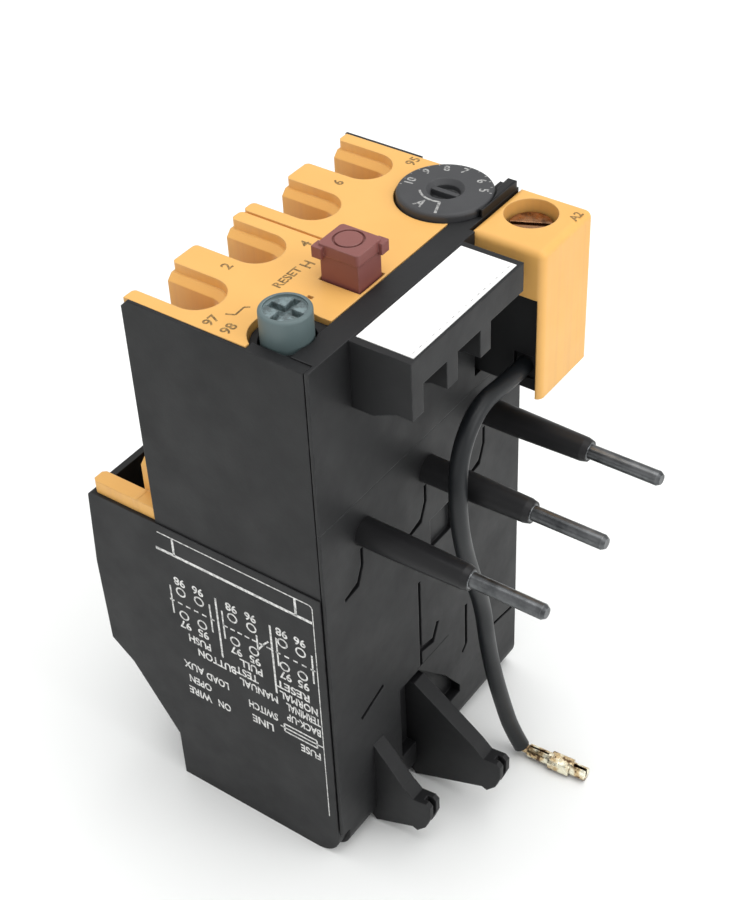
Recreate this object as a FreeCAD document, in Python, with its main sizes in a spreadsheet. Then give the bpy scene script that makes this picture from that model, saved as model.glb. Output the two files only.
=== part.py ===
import FreeCAD, Part

import math
import os
import re

import Sketcher
from FreeCAD import Placement, Rotation, Vector

# Thermal overload relay, in millimetres.  The origin is the middle of the back face, +Z runs to
# the front where the buttons are, +X to the three load pins and +Y across the poles, away from
# the side that carries the printed cover.

SIZES = [
    ("body_width", 45.0, "across the poles, over the side covers"),
    ("body_depth", 85.3, "back face to front cover"),
    ("pin_face", 14.4, "middle to the face that the load pins leave"),
    ("upper_reach", 12.8, "middle to the terminal side of the mechanism case"),
    ("lower_reach", 25.2, "middle to the terminal side of the power housing"),
    ("case_depth", 35.0, "front cover to the joint between housing and case"),
    ("shelf_depth", 24.0, "front cover to the front of the pin shelf"),
    ("shelf_start", 8.5, "middle to the inside of the pin shelf"),
    ("back_foot", 14.4, "middle to the terminal-side end of the back face"),
    ("foot_rise", 8.5, "height of the step beside the back face"),
    ("chin_wall", 2.5, "floor of a terminal bay to the underside of the chin"),
    ("back_radius", 4.0, "rounded corner at the back of the pin face"),
    ("cover_wall", 1.6, "side cover thickness"),
    ("label_proud", 0.2, "lower side cover stands out by this much"),
    ("outer_wall", 1.6, "walls of the mechanism case"),
    ("pole_margin", 1.5, "side of the body to the outer pole's share of its width"),
    ("chamber_rib", 2.0, "wall between two pole chambers"),
    ("chamber_floor", 4.0, "back wall behind the pole chambers"),
    ("chamber_left", 10.0, "middle to the terminal side of a pole chamber"),
    ("bay_rib", 3.5, "wall between two main terminal bays"),
    ("bay_depth", 28.3, "joint to the floor of a terminal bay"),
    ("bay_wall", 1.8, "wall outside a terminal bay"),
    ("bay_inner", 13.5, "middle to the inside of a terminal bay"),
    ("plate_thick", 2.2, "front cover plate"),
    ("comb_depth", 9.0, "front cover ribs between the slots"),
    ("comb_end", 0.8, "middle to the end of the comb"),
    ("rim_start", 10.9, "middle to the black rim beside the front cover"),
    ("slot_margin", 0.1, "side of the body to the outer slot's share of its width"),
    ("slot_rib", 4.4, "rib between two auxiliary terminal slots"),
    ("slot_ledge", 1.1, "ledge inside an auxiliary terminal slot"),
    ("slot_mouth", 1.3, "front cover to that ledge"),
    ("slot_centre", 5.7, "middle to the centre of a slot's round end"),
    ("aux_depth", 19.0, "front cover to the floor of an auxiliary chamber"),
    ("aux_end", 2.4, "middle to the inside of an auxiliary chamber"),
    ("cavity_depth", 22.3, "front cover to the floor of the mechanism space"),
    ("cavity_left", 0.4, "middle to the terminal side of the mechanism space"),
    ("slide_depth", 28.3, "front cover to the ceiling of the slide space"),
    ("cover_gap", 0.2, "clearance between a cover and its neighbour"),
    ("run_gap", 0.3, "clearance round a moving piece"),
    ("pin_depth", 29.5, "front cover to the load pin axis"),
    ("pin_tip", 40.4, "middle to the end of a load pin"),
    ("pin_radius", 1.0, "load pin, bare end"),
    ("pin_shank", 1.2, "load pin inside its sleeve"),
    ("sleeve_radius", 1.9, "insulating sleeve at its root"),
    ("sleeve_end", 30.1, "middle to the end of a sleeve"),
    ("sleeve_nose", 1.45, "radius of a sleeve's nose"),
    ("pin_root", 5.2, "middle to the inner end of a load pin"),
    ("reset_x", 7.8, "reset button, from the middle"),
    ("reset_inset", 5.0, "near side to the reset button"),
    ("reset_radius", 3.15, "reset button"),
    ("reset_rise", 3.5, "reset button above the front cover"),
    ("reset_travel", 2.0, "reset button press"),
    ("stem_radius", 1.9, "reset plunger stem"),
    ("test_x", 7.4, "test button, from the middle"),
    ("button_pitch", 12.95, "reset button to test button"),
    ("test_length", 6.2, "test button head along X"),
    ("test_width", 5.3, "test button head along Y"),
    ("test_rise", 5.0, "test button above the front cover"),
    ("test_head", 1.5, "test button head, thickness"),
    ("test_push", 1.5, "test button travel each way"),
    ("dial_x", 6.9, "setting dial, from the middle"),
    ("dial_inset", 6.4, "far side to the setting dial"),
    ("dial_radius", 6.2, "setting dial"),
    ("dial_rise", 1.0, "setting dial above the front cover"),
    ("dial_thick", 2.7, "setting dial disc"),
    ("spindle_radius", 2.0, "spindle under the dial"),
    ("cam_radius", 2.9, "eccentric cam on the spindle"),
    ("cam_throw", 0.6, "cam centre off the spindle"),
    ("block_left", 13.6, "coil terminal block, from the middle"),
    ("block_right", 24.1, "coil terminal block, outer face"),
    ("block_span", 11.4, "far side to the near face of the coil terminal block"),
    ("block_proud", 0.5, "coil terminal block beyond the far side"),
    ("block_depth", 22.0, "front cover to the back of the coil terminal block"),
    ("block_bridge", 7.0, "solid front part of the block's near face"),
    ("block_wall", 0.8, "outer wall of the coil terminal block"),
    ("block_hole", 3.4, "screwdriver hole in the coil terminal block"),
    ("carrier_reach", 22.9, "label carrier, outer edge"),
    ("carrier_gap", 2.6, "label carrier to coil terminal block"),
    ("carrier_length", 23.5, "label carrier"),
    ("carrier_skirt", 4.0, "label carrier skirt"),
    ("tooth_drop", 8.0, "label carrier teeth below the front"),
    ("tooth_width", 2.2, "label carrier tooth"),
    ("label_thick", 0.4, "blank label"),
    ("hook_thick", 2.4, "mounting hook"),
    ("hook_near_y", -14.5, "near mounting hook, near face"),
    ("hook_far_y", -4.5, "far mounting hook, near face"),
    ("hook_near_reach", 9.1, "near mounting hook, out of the pin face"),
    ("hook_far_reach", 14.2, "far mounting hook, out of the pin face"),
    ("hook_near_height", 16.3, "near mounting hook at its root"),
    ("hook_far_height", 19.6, "far mounting hook at its root"),
    ("hook_seat", 3.4, "hook root held in the housing"),
    ("hook_recess", 1.6, "hollow of the pin face round the far hook"),
    ("fork_gap", 0.8, "gap between the two prongs of a hook's tip"),
    ("bimetal_thick", 0.8, "bimetal strip"),
    ("bimetal_width", 7.0, "bimetal strip"),
    ("bimetal_drop", 30.1, "front cover to the bimetal tip"),
    ("heater_gap", 9.0, "heater winding to the trip slide"),
    ("heater_foot", 16.0, "back face to the heater winding"),
    ("strip_thick", 1.0, "copper strip"),
    ("strip_width", 5.0, "copper strip"),
    ("slide_thick", 1.2, "trip slide"),
    ("slide_rise", 0.7, "joint to the trip slide"),
    ("slide_travel", 2.0, "trip slide"),
    ("slide_left", 9.0, "middle to the terminal side of the slides"),
    ("slide_right", 3.0, "middle to the pin side of the slides"),
    ("lever_thick", 2.0, "trip lever"),
    ("lever_x", 5.0, "middle to the trip lever"),
    ("lever_offset", 2.45, "test button to the trip lever pivot, across"),
    ("lever_depth", 25.1, "front cover to the trip lever pivot"),
    ("finger_reach", 7.0, "trip lever finger, from the pivot"),
    ("pivot_radius", 0.8, "pivot pins"),
    ("fit_gap", 0.05, "pivot pin clearance"),
    ("contact_gap", 1.25, "open contact"),
    ("screw_radius", 2.0, "main terminal screw"),
    ("screw_head", 3.3, "main terminal screw head"),
    ("aux_screw_radius", 1.5, "auxiliary terminal screw"),
    ("screw_room", 0.65, "auxiliary terminal screw head to its slot"),
    ("groove_depth", 0.6, "moulded grooves in the pin face"),
    ("groove_width", 0.6, "moulded grooves in the pin face"),
    ("wire_radius", 1.1, "coil wire"),
    ("ferrule_radius", 1.0, "crimped ferrule"),
    ("crimp_width", 2.6, "squashed middle of the ferrule"),
    ("crimp_height", 1.7, "squashed middle of the ferrule"),
    ("strand_radius", 0.7, "bare strands between the insulation and the ferrule"),
    ("spring_wire", 0.25, "spring wire, radius"),
    ("spring_room", 1.1, "test spring pressed flat"),
]

# Places and sizes that follow from those above.
FOLLOWS = {
    "near_side": "-body_width/2",
    "far_side": "body_width/2",
    "split_height": "body_depth - case_depth",
    "shelf_height": "body_depth - shelf_depth",
    "slide_floor": "body_depth - slide_depth",
    "cavity_floor": "body_depth - cavity_depth",
    "aux_floor": "body_depth - aux_depth",
    "pin_height": "body_depth - pin_depth",
    "lever_z": "body_depth - lever_depth",
    "bimetal_tip": "body_depth - bimetal_drop",
    "bay_floor": "split_height - bay_depth",
    "chin_height": "bay_floor - chin_wall",
    "slide_rest": "split_height + slide_rise",
    "heater_height": "slide_rest - heater_foot - heater_gap",
    "pole_pitch": "(body_width - 2*pole_margin)/3",
    "chamber_width": "pole_pitch - chamber_rib",
    "bay_width": "pole_pitch - bay_rib",
    "bay_outer": "lower_reach - bay_wall",
    "slot_pitch": "(body_width - 2*slot_margin)/4",
    "slot_width": "slot_pitch - slot_rib",
    "aux_screw_head": "slot_width/2 - screw_room",
    "reset_y": "near_side + reset_inset",
    "test_y": "reset_y + button_pitch",
    "test_seat": "cavity_floor + 14",
    "test_shoulder": "test_seat + test_push + spring_room",
    "dial_y": "far_side - dial_inset",
    "lever_y": "test_y - lever_offset",
    "block_near": "far_side - block_span",
    "block_far": "far_side + block_proud",
    "block_back": "body_depth - block_depth",
    "carrier_far": "block_near - carrier_gap",
    "carrier_near": "carrier_far - carrier_length",
}

doc = FreeCAD.newDocument("thermal_overload_relay")
sheet = doc.addObject("Spreadsheet::Sheet", "sizes")
for row, (alias, value, note) in enumerate(SIZES, start=1):
    sheet.set("A%d" % row, note)
    sheet.set("B%d" % row, str(value))
    sheet.setAlias("B%d" % row, alias)
doc.recompute()
ALIASES = {alias for alias, value, note in SIZES}
pieces = []


def full(expression):
    """The expression with what follows worked out and each size written as a reference to the sheet."""
    def reference(word):
        name = word.group()
        if name in FOLLOWS:
            return "(%s)" % full(FOLLOWS[name])
        return "sizes." + name if name in ALIASES else name
    return re.sub(r"[a-z]\w*", reference, str(expression))


def at(expression):
    return float(sheet.evalExpression(full(expression)))


def bind(thing, prop, expression):
    thing.setExpression(prop, full(expression))


def origin_plane(body, plane):
    return [f for f in body.Origin.OriginFeatures if f.Role == plane + "_Plane"][0]


def rect(a0, a1, b0, b1):
    return [(a0, b0), (a1, b0), (a1, b1), (a0, b1)]


def disc(a, b, radius):
    return ("disc", a, b, radius)


def fix_to_origin(sketch, geometry, point, a, b):
    for kind, expression in (("DistanceX", a), ("DistanceY", b)):
        made = sketch.addConstraint(Sketcher.Constraint(kind, -1, 1, geometry, point, at(expression)))
        bind(sketch, "Constraints[%d]" % made, expression)


def draw_loop(sketch, corners):
    first = sketch.GeometryCount
    points = [Vector(at(a), at(b), 0) for a, b in corners]
    count = len(points)
    for i in range(count):
        sketch.addGeometry(Part.LineSegment(points[i], points[(i + 1) % count]))
    for i in range(count):
        sketch.addConstraint(Sketcher.Constraint("Coincident", first + i, 2, first + (i + 1) % count, 1))
    for i, (a, b) in enumerate(corners):
        fix_to_origin(sketch, first + i, 1, a, b)


def draw_disc(sketch, a, b, radius):
    centre = Vector(at(a), at(b), 0)
    circle = sketch.addGeometry(Part.Circle(centre, Vector(0, 0, 1), at(radius)))
    fix_to_origin(sketch, circle, 3, a, b)
    made = sketch.addConstraint(Sketcher.Constraint("Radius", circle, at(radius)))
    bind(sketch, "Constraints[%d]" % made, radius)


def add_sketch(body, name, plane, start, loops):
    """A sketch parallel to an origin plane, at distance start along that plane's axis."""
    sketch = body.newObject("Sketcher::SketchObject", name)
    sketch.AttachmentSupport = [(origin_plane(body, plane), "")]
    sketch.MapMode = "FlatFace"
    sign = "-" if plane == "XZ" else ""
    bind(sketch, "AttachmentOffset.Base.z", "%s(%s)" % (sign, start))
    for loop in loops:
        if loop[0] == "disc":
            draw_disc(sketch, *loop[1:])
        else:
            draw_loop(sketch, loop)
    sketch.Visibility = False
    return sketch


def new_body(label):
    body = doc.addObject("PartDesign::Body", label)
    body.Label = label
    pieces.append(body)
    return body


def pad(body, name, plane, start, length, *loops):
    """Adds material from start towards the positive axis."""
    feature = body.newObject("PartDesign::Pad", name)
    feature.Profile = add_sketch(body, name + "_sketch", plane, start, loops)
    bind(feature, "Length", length)
    feature.Reversed = plane == "XZ"
    doc.recompute()
    return feature


def pocket(body, name, plane, start, length, *loops):
    """Cuts material from start towards the positive axis."""
    before = body.Shape.Volume
    feature = body.newObject("PartDesign::Pocket", name)
    feature.Profile = add_sketch(body, name + "_sketch", plane, start, loops)
    bind(feature, "Length", length)
    feature.Reversed = plane != "XZ"
    doc.recompute()
    if body.Shape.Volume > before - 0.001:
        raise RuntimeError("%s cuts nothing from %s" % (name, body.Label))
    return feature


def turn(body, name, plane, loop, axis):
    """A revolution of a half profile about a sketch axis: H_Axis or V_Axis."""
    sketch = add_sketch(body, name + "_sketch", plane, "0", [loop])
    feature = body.newObject("PartDesign::Revolution", name)
    feature.Profile = sketch
    feature.ReferenceAxis = (sketch, [axis])
    feature.Angle = 360
    doc.recompute()
    return feature


def chosen_edges(shape, test):
    return ["Edge%d" % (i + 1) for i, edge in enumerate(shape.Edges) if test(edge)]


def straight(edge, axis):
    """True for a straight edge along the axis."""
    if edge.Curve.TypeId != "Part::GeomLine":
        return False
    return abs(abs(edge.tangentAt(edge.FirstParameter).dot(axis)) - 1) < 1e-6


def round_edges(body, name, radius, test, kind="PartDesign::Fillet"):
    doc.recompute()
    base = body.Tip
    edges = chosen_edges(base.Shape, test)
    if not edges:
        raise RuntimeError("%s finds no edge on %s" % (name, body.Label))
    feature = body.newObject(kind, name)
    feature.Base = (base, edges)
    bind(feature, "Radius" if kind.endswith("Fillet") else "Size", radius)
    doc.recompute()
    return feature


X, Y, Z = Vector(1, 0, 0), Vector(0, 1, 0), Vector(0, 0, 1)
NEAR = "(-body_width/2 + cover_wall)"
FAR = "body_width/2"


def power_housing():
    body = new_body("power_housing")
    side = [("-back_foot", "0"), ("pin_face", "0"), ("pin_face", "shelf_height"),
            ("shelf_start", "shelf_height"), ("shelf_start", "split_height"),
            ("-lower_reach + 0.8", "split_height"), ("-lower_reach", "split_height - 13"),
            ("-lower_reach + 0.3", "chin_height + 3"), ("-lower_reach + 3.8", "chin_height"),
            ("-back_foot", "foot_rise")]
    pad(body, "shell", "XZ", NEAR, "body_width - cover_wall", side)
    round_edges(body, "back_corner", "back_radius",
                lambda e: straight(e, Y) and e.BoundBox.ZMax < 0.01 and e.BoundBox.XMin > 0)
    poles = [rect("-chamber_left", "shelf_start - 0.5", "%d*pole_pitch - chamber_width/2" % k,
                  "%d*pole_pitch + chamber_width/2" % k) for k in (-1, 0, 1)]
    pocket(body, "pole_chambers", "XY", "chamber_floor", "split_height - chamber_floor", *poles)
    bays = [rect("-bay_outer", "-bay_inner", "%d*pole_pitch - bay_width/2" % k,
                 "%d*pole_pitch + bay_width/2" % k) for k in (-1, 0, 1)]
    pocket(body, "terminal_bays", "XY", "bay_floor", "split_height - bay_floor", *bays)
    wires = [rect("%d*pole_pitch - bay_width/2 + 1.25" % k, "%d*pole_pitch + bay_width/2 - 1.25" % k,
                  "bay_floor + 4", "bay_floor + 12.5") for k in (-1, 0, 1)]
    pocket(body, "wire_windows", "YZ", "-lower_reach - 1", "lower_reach - bay_outer + 1.5", *wires)
    bars = [rect("%d*pole_pitch - strip_width/2 - cover_gap" % k,
                 "%d*pole_pitch + strip_width/2 + cover_gap" % k,
                 "bay_floor + 3.8", "bay_floor + 5.2") for k in (-1, 0, 1)]
    pocket(body, "bar_slots", "YZ", "-bay_inner - 0.5", "bay_inner - chamber_left + 1", *bars)
    pins = [disc("%d*pole_pitch" % k, "pin_height", "pin_shank") for k in (-1, 0, 1)]
    pocket(body, "pin_bores", "YZ", "shelf_start - 1", "pin_face - shelf_start + 2", *pins)
    roots = [disc("%d*pole_pitch" % k, "pin_height", "sleeve_radius") for k in (-1, 0, 1)]
    pocket(body, "sleeve_seats", "YZ", "pin_face - 2", "3", *roots)
    hollow = [("hook_far_y - 3.4", "7.3"), ("hook_far_y + 11.6", "7.3"), ("hook_far_y + 11.6", "12.5"),
              ("hook_far_y + 8.5", "21.3"), ("hook_far_y - 3.4", "21.3")]
    pocket(body, "hook_hollow", "YZ", "pin_face - hook_recess", "hook_recess + 1", hollow)
    seats = [rect("hook_near_y", "hook_near_y + hook_thick", "0", "hook_near_height"),
             rect("hook_far_y", "hook_far_y + hook_thick", "0", "hook_far_height")]
    pocket(body, "hook_seats", "YZ", "pin_face - hook_seat", "hook_seat + 1", *seats)
    pad(body, "corner_post", "XY", "back_radius + 1", "shelf_height - back_radius - 1",
        rect("pin_face - 0.5", "pin_face", "-body_width/2", "-body_width/2 + cover_wall + 0.5"))
    pocket(body, "face_grooves", "YZ", "pin_face - groove_depth", "groove_depth + 1", *face_grooves())


def face_grooves():
    """The moulded grooves of the pin face: a drip line below each sleeve and those round the hooks."""
    loops = []
    for k in (-1, 0, 1):
        left, right = "(%d*pole_pitch - 1)" % k, "(%d*pole_pitch - 1 + groove_width)" % k
        top = "(pin_height - sleeve_radius - 0.4)"
        loops.append([(left, top), (left, top + " - 2.6"), (left + " - 1.0", top + " - 4.9"),
                      (left + " - 3.6", top + " - 5.7"), (left + " - 3.6", top + " - 5.7 - groove_width"),
                      (left + " - 0.6", top + " - 5.3 - groove_width"), (right, top + " - 2.8"), (right, top)])
    column = "(hook_far_y + 1.6)"
    edge = column + " + groove_width"
    loops.append([(column, "21.6"), (edge, "21.6"), (edge, "24.0"), (column + " + 3.5", "23.4"),
                  (column + " + 4.9", "26.6"), (column + " + 4.2", "26.9"), (column + " + 3.1", "24.6"),
                  (edge, "25.2"), (edge, "37.7"), (column, "37.7")])
    knee = "(hook_far_y + 13)"
    loops.append([(knee, "24"), (knee, "16.2"), (knee + " - 0.9", "15.2"), (knee + " - 0.5", "14.7"),
                  (knee + " + groove_width", "15.9"), (knee + " + groove_width", "24")])
    slit = "(hook_near_y - 2.4)"
    loops.append([(slit, "24.2"), (slit + " + 0.3", "23.5"), (slit + " + 5.5", "25.4"), (slit + " + 5.2", "26.1")])
    loops.append(rect("0.3", "5.2", "41.5", "46.6"))
    crease = "(far_side - 6.3)"
    loops.append([(crease, "13.9"), (crease, "13.3"), ("far_side + 1", "12.3"), ("far_side + 1", "12.9")])
    return loops


def power_side_cover():
    body = new_body("power_side_cover")
    side = [("-back_foot", "0"), ("pin_face - 0.5 - cover_gap", "0"),
            ("pin_face - 0.5 - cover_gap", "split_height"),
            ("-lower_reach + 0.8", "split_height"), ("-lower_reach", "split_height - 13"),
            ("-lower_reach + 0.3", "chin_height + 3"), ("-lower_reach + 3.8", "chin_height"),
            ("-back_foot", "foot_rise")]
    pad(body, "plate", "XZ", "-body_width/2 - label_proud", "cover_wall + label_proud", side)
    round_edges(body, "back_corner", "back_radius",
                lambda e: straight(e, Y) and e.BoundBox.ZMax < 0.01 and e.BoundBox.XMin > 0)
    round_edges(body, "front_corner", "0.8",
                lambda e: straight(e, Y) and e.BoundBox.ZMin > at("split_height") - 0.01
                and e.BoundBox.XMax < 0)


def mechanism_case():
    body = new_body("mechanism_case")
    deck = "(body_depth - plate_thick)"
    comb = "(body_depth - comb_depth)"
    side = [("-upper_reach", "split_height"), ("shelf_start", "split_height"),
            ("shelf_start", "shelf_height"), ("pin_face", "shelf_height"),
            ("pin_face", "body_depth"), ("rim_start", "body_depth"), ("rim_start", deck),
            ("-comb_end", deck), ("-comb_end", comb), ("-upper_reach", comb)]
    pad(body, "shell", "XZ", NEAR, "body_width - cover_wall", side)
    pad(body, "button_pad", "XY", deck, "plate_thick - 0.6",
        rect("reset_x - 1.8", "rim_start + 0.5", "reset_y - 3.4", "reset_y + 4.2"))
    pad(body, "button_ring", "XY", deck, "plate_thick - 1.0", disc("reset_x", "reset_y", "reset_radius + 1.2"))
    pocket(body, "ring_trim", "XY", deck, "plate_thick",
           rect("reset_x - 6", "pin_face + 1", "-body_width/2 - 1", NEAR))
    pocket(body, "mechanism_space", "XY", "cavity_floor", deck + " - cavity_floor",
           rect("cavity_left", "pin_face - outer_wall", NEAR + " - 1", "body_width/2 - outer_wall"))
    pocket(body, "slide_space", "XY", "split_height - 1", "slide_floor - split_height + 1",
           rect("-slide_left - 0.6", "shelf_start - 1.5", NEAR + " - 1", "body_width/2 - outer_wall"))
    pocket(body, "lever_well", "XY", "slide_floor - 1", "cavity_floor - slide_floor + 2",
           rect("lever_x - 0.6", "lever_x + lever_thick + 0.4", "lever_y - 3.5", "lever_y + 8"))
    lanes = ["(%s*slot_pitch)" % k for k in (-1.5, -0.5, 0.5, 1.5)]
    chambers = [rect("-upper_reach - 1", "-aux_end", lane + " - slot_width/2", lane + " + slot_width/2")
                for lane in lanes]
    pocket(body, "aux_chambers", "XY", "aux_floor", comb + " - aux_floor", *chambers)
    slots = [rect(lane + " - strip_width/2 - 0.1", lane + " + strip_width/2 + 0.1",
                  "aux_floor", "aux_floor + strip_thick + 0.1") for lane in lanes]
    pocket(body, "aux_strip_slots", "YZ", "-aux_end - 0.5", "aux_end + cavity_left + 1", *slots)
    pad(body, "reset_bridge", "XY", deck + " - 3.8", "3.8",
        rect("cavity_left - 0.1", "pin_face - outer_wall + 0.1", NEAR, "reset_y + 4.2"))
    pad(body, "test_bridge", "XY", "test_seat - 2", "2",
        rect("cavity_left - 0.1", "pin_face - outer_wall + 0.1", "test_y - 2.9", "test_y + 2.9"))
    pad(body, "dial_bridge", "XY", deck + " - 1.8", "1.8",
        rect("cavity_left - 0.1", "pin_face - outer_wall + 0.1", "dial_y - 5.5", "body_width/2 - outer_wall + 0.1"))
    pocket(body, "reset_bore", "XY", deck + " - reset_travel - run_gap", "plate_thick + reset_travel + run_gap",
           disc("reset_x", "reset_y", "reset_radius + run_gap"))
    pocket(body, "reset_guide", "XY", deck + " - 4.5", "4", disc("reset_x", "reset_y", "stem_radius + 0.1"))
    pocket(body, "test_guide", "XY", "cavity_floor + 11", "4", disc("test_x", "test_y", "1.6"))
    pocket(body, "dial_bearing", "XY", deck + " - 3", "4", disc("dial_x", "dial_y", "spindle_radius + fit_gap"))
    pad(body, "dial_wedge", "XZ", "dial_y - 2", "far_side - dial_y + 1.6",
        [("rim_start + 1.6", "body_depth - 0.2"), ("rim_start + 2.5", "body_depth - 0.2"),
         ("rim_start + 2.5", "body_depth + dial_rise + 0.2")])
    pocket(body, "dial_clearance", "XY", deck, "plate_thick + dial_rise + 1",
           disc("dial_x", "dial_y", "dial_radius + run_gap"))
    pocket(body, "block_notch", "XY", "block_back", "body_depth - block_back + 1",
           rect("block_left", "pin_face + 1", "block_near", "body_width/2 + 1"))
    guard = "(block_near + 1.2)"
    pad(body, "wire_guard", "XY", "block_back + run_gap", "block_depth - block_bridge - 2*run_gap",
        rect("block_left - 0.4", "block_right - block_wall - run_gap", guard, guard + " + 1"))
    pocket(body, "guard_hole", "XZ", guard + " - 0.5", "2",
           rect("block_right - 3.1 - wire_radius - 0.4", "block_right - 3.1 + wire_radius + 0.4",
                "block_back + 2", "block_back + 5.5"))
    pins = [disc("%d*pole_pitch" % k, "pin_height", "pin_shank") for k in (-1, 0, 1)]
    pocket(body, "pin_bores", "YZ", "shelf_start - 2", "3", *pins)
    pad(body, "corner_post", "XY", "shelf_height", "body_depth - shelf_height",
        rect("pin_face - 0.5", "pin_face", "-body_width/2", "-body_width/2 + cover_wall + 0.5"))
    pad(body, "far_lip", "XY", comb, "comb_depth",
        rect("-upper_reach", "-comb_end", "body_width/2 - 0.4", FAR))
    pivot = "lever_z"
    pocket(body, "pivot_bore", "YZ", "lever_x - 2.5", "lever_thick + 5",
           disc("lever_y", pivot, "pivot_radius"))


def mechanism_side_cover():
    body = new_body("mechanism_side_cover")
    right = "(pin_face - 0.5 - cover_gap)"
    side = [("-upper_reach", "split_height"), (right, "split_height"), (right, "body_depth - 0.2"),
            ("-upper_reach + 1", "body_depth"), ("-upper_reach", "body_depth - 1")]
    pad(body, "plate", "XZ", "-body_width/2", "cover_wall", side)
    pocket(body, "front_rebate", "XZ", "-body_width/2 + 0.4", "cover_wall",
           rect("-upper_reach - 1", "reset_x - 2.3", "body_depth - plate_thick", "body_depth + 1"))
    pocket(body, "comb_rebate", "XZ", "-body_width/2 + 0.4", "cover_wall",
           rect("-upper_reach - 1", "-comb_end", "body_depth - comb_depth", "body_depth - plate_thick + 0.1"))


def front_cover():
    body = new_body("front_cover")
    left = "(-upper_reach + 0.2)"
    right = "(rim_start - cover_gap)"
    deck = "(body_depth - plate_thick)"
    side = [(left, "body_depth - comb_depth"), ("-comb_end", "body_depth - comb_depth"),
            ("-comb_end", deck), (right, deck), (right, "body_depth"), (left, "body_depth")]
    pad(body, "plate", "XZ", "-body_width/2 + 0.4", "body_width - 0.8", side)
    lanes = ["(%s*slot_pitch)" % k for k in (-1.5, -0.5, 0.5, 1.5)]
    ledge = "(body_depth - slot_mouth)"
    nose = at(left)
    for name, low, half in (("slots", "body_depth - comb_depth - 1", "(slot_width/2 - slot_ledge)"),
                            ("mouths", ledge, "(slot_width/2)")):
        straights = [rect("-upper_reach - 1", "-slot_centre", lane + " - " + half, lane + " + " + half)
                     for lane in lanes]
        pocket(body, name, "XY", low, "comb_depth + 2", *straights)
        ends = [disc("-slot_centre", lane, half) for lane in lanes]
        pocket(body, name + "_ends", "XY", low, "comb_depth + 2", *ends)
    rims = [at(lane + side) for lane in lanes for side in (" - slot_width/2 + slot_ledge", " + slot_width/2 - slot_ledge")]
    round_edges(body, "ledge_slope", "0.8",
                lambda e: straight(e, X) and abs(e.BoundBox.ZMin - at(ledge)) < 0.01
                and min(abs(e.BoundBox.YMin - rim) for rim in rims) < 0.01, "PartDesign::Chamfer")
    pocket(body, "reset_cut", "XY", deck + " - 1", "plate_thick + 2",
           disc("reset_x", "reset_y", "reset_radius + 1.4"))
    pocket(body, "reset_corner", "XY", deck + " - 1", "plate_thick + 2",
           rect("reset_x - 2.4", right + " + 1", "-body_width/2 - 1", "reset_y"))
    pocket(body, "reset_side", "XY", deck + " - 1", "plate_thick + 2",
           rect("reset_x", right + " + 1", "reset_y - 1", "reset_y + 4.4"))
    pocket(body, "test_cut", "XY", deck + " - 1", "plate_thick + 2",
           rect("test_x - test_length/2 + 0.1", "test_x + test_length/2 - 0.1",
                "test_y - test_width/2 + 0.1", "test_y + test_width/2 - 0.1"))
    pocket(body, "dial_cut", "XY", deck + " - 1", "plate_thick + 2",
           disc("dial_x", "dial_y", "dial_radius + run_gap"))
    pocket(body, "dial_side", "XY", deck + " - 1", "plate_thick + 2",
           rect("dial_x - 3", right + " + 1", "dial_y", "body_width/2 + 1"))
    pocket(body, "divider", "XY", "body_depth - 0.5", "1.5",
           rect("-upper_reach - 1", "test_x - test_length/2 - 1", "-0.2", "0.2"))
    pocket(body, "sight_hole", "XY", deck + " - 1", "plate_thick + 2",
           rect("reset_x - 2.4", "reset_x - 1.6", "reset_y + 6.7", "reset_y + 7.2"))
    round_edges(body, "rib_noses", "0.6",
                lambda e: straight(e, Z) and abs(e.BoundBox.XMin - nose) < 0.01
                and e.BoundBox.ZMax > at(ledge) and abs(e.BoundBox.YMin) < at("body_width/2 - 1"))


def main_terminal_cover():
    body = new_body("main_terminal_cover")
    inner = "(-upper_reach - 0.1)"
    side = [("-lower_reach + 0.9", "split_height"), (inner, "split_height"), (inner, "split_height + 7"),
            (inner + " - 0.9", "split_height + 7"), (inner + " - 0.9", "split_height + 2"),
            ("-lower_reach + 0.9", "split_height + 2")]
    pad(body, "plate", "XZ", "-body_width/2 + 0.3", "body_width - 0.6", side)
    holes = [disc("-(bay_outer + bay_inner)/2", "%d*pole_pitch" % k, "screw_head + 0.5") for k in (-1, 0, 1)]
    pocket(body, "screw_holes", "XY", "split_height - 1", "4", *holes)


def coil_terminal_block():
    body = new_body("coil_terminal_block")
    pad(body, "block", "XY", "block_back", "body_depth - block_back",
        rect("block_left + 0.05", "block_right", "block_near + 0.05", "block_far"))
    top = at("body_depth")
    round_edges(body, "soft_edges", "1.0",
                lambda e: (straight(e, Z) and e.BoundBox.XMax > at("block_right") - 0.1)
                or e.BoundBox.ZMin > top - 0.01)
    centre = ("(block_left + block_right)/2 - 0.8", "(block_near + block_far)/2 + 1.1")
    pocket(body, "screw_hole", "XY", "block_back + 7", "body_depth - block_back - 6",
           disc(centre[0], centre[1], "block_hole"))
    pocket(body, "clamp_room", "YZ", "block_left + 1.6", "block_right - block_left - 1.6 - block_wall",
           rect("block_near - 1", "block_far - 1.6", "block_back - 1", "body_depth - block_bridge"))
    pocket(body, "wire_window", "YZ", "block_left - 1", "3",
           rect("block_near - 1", "block_near + 2.6", "block_back - 1", "body_depth - block_bridge"))


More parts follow.
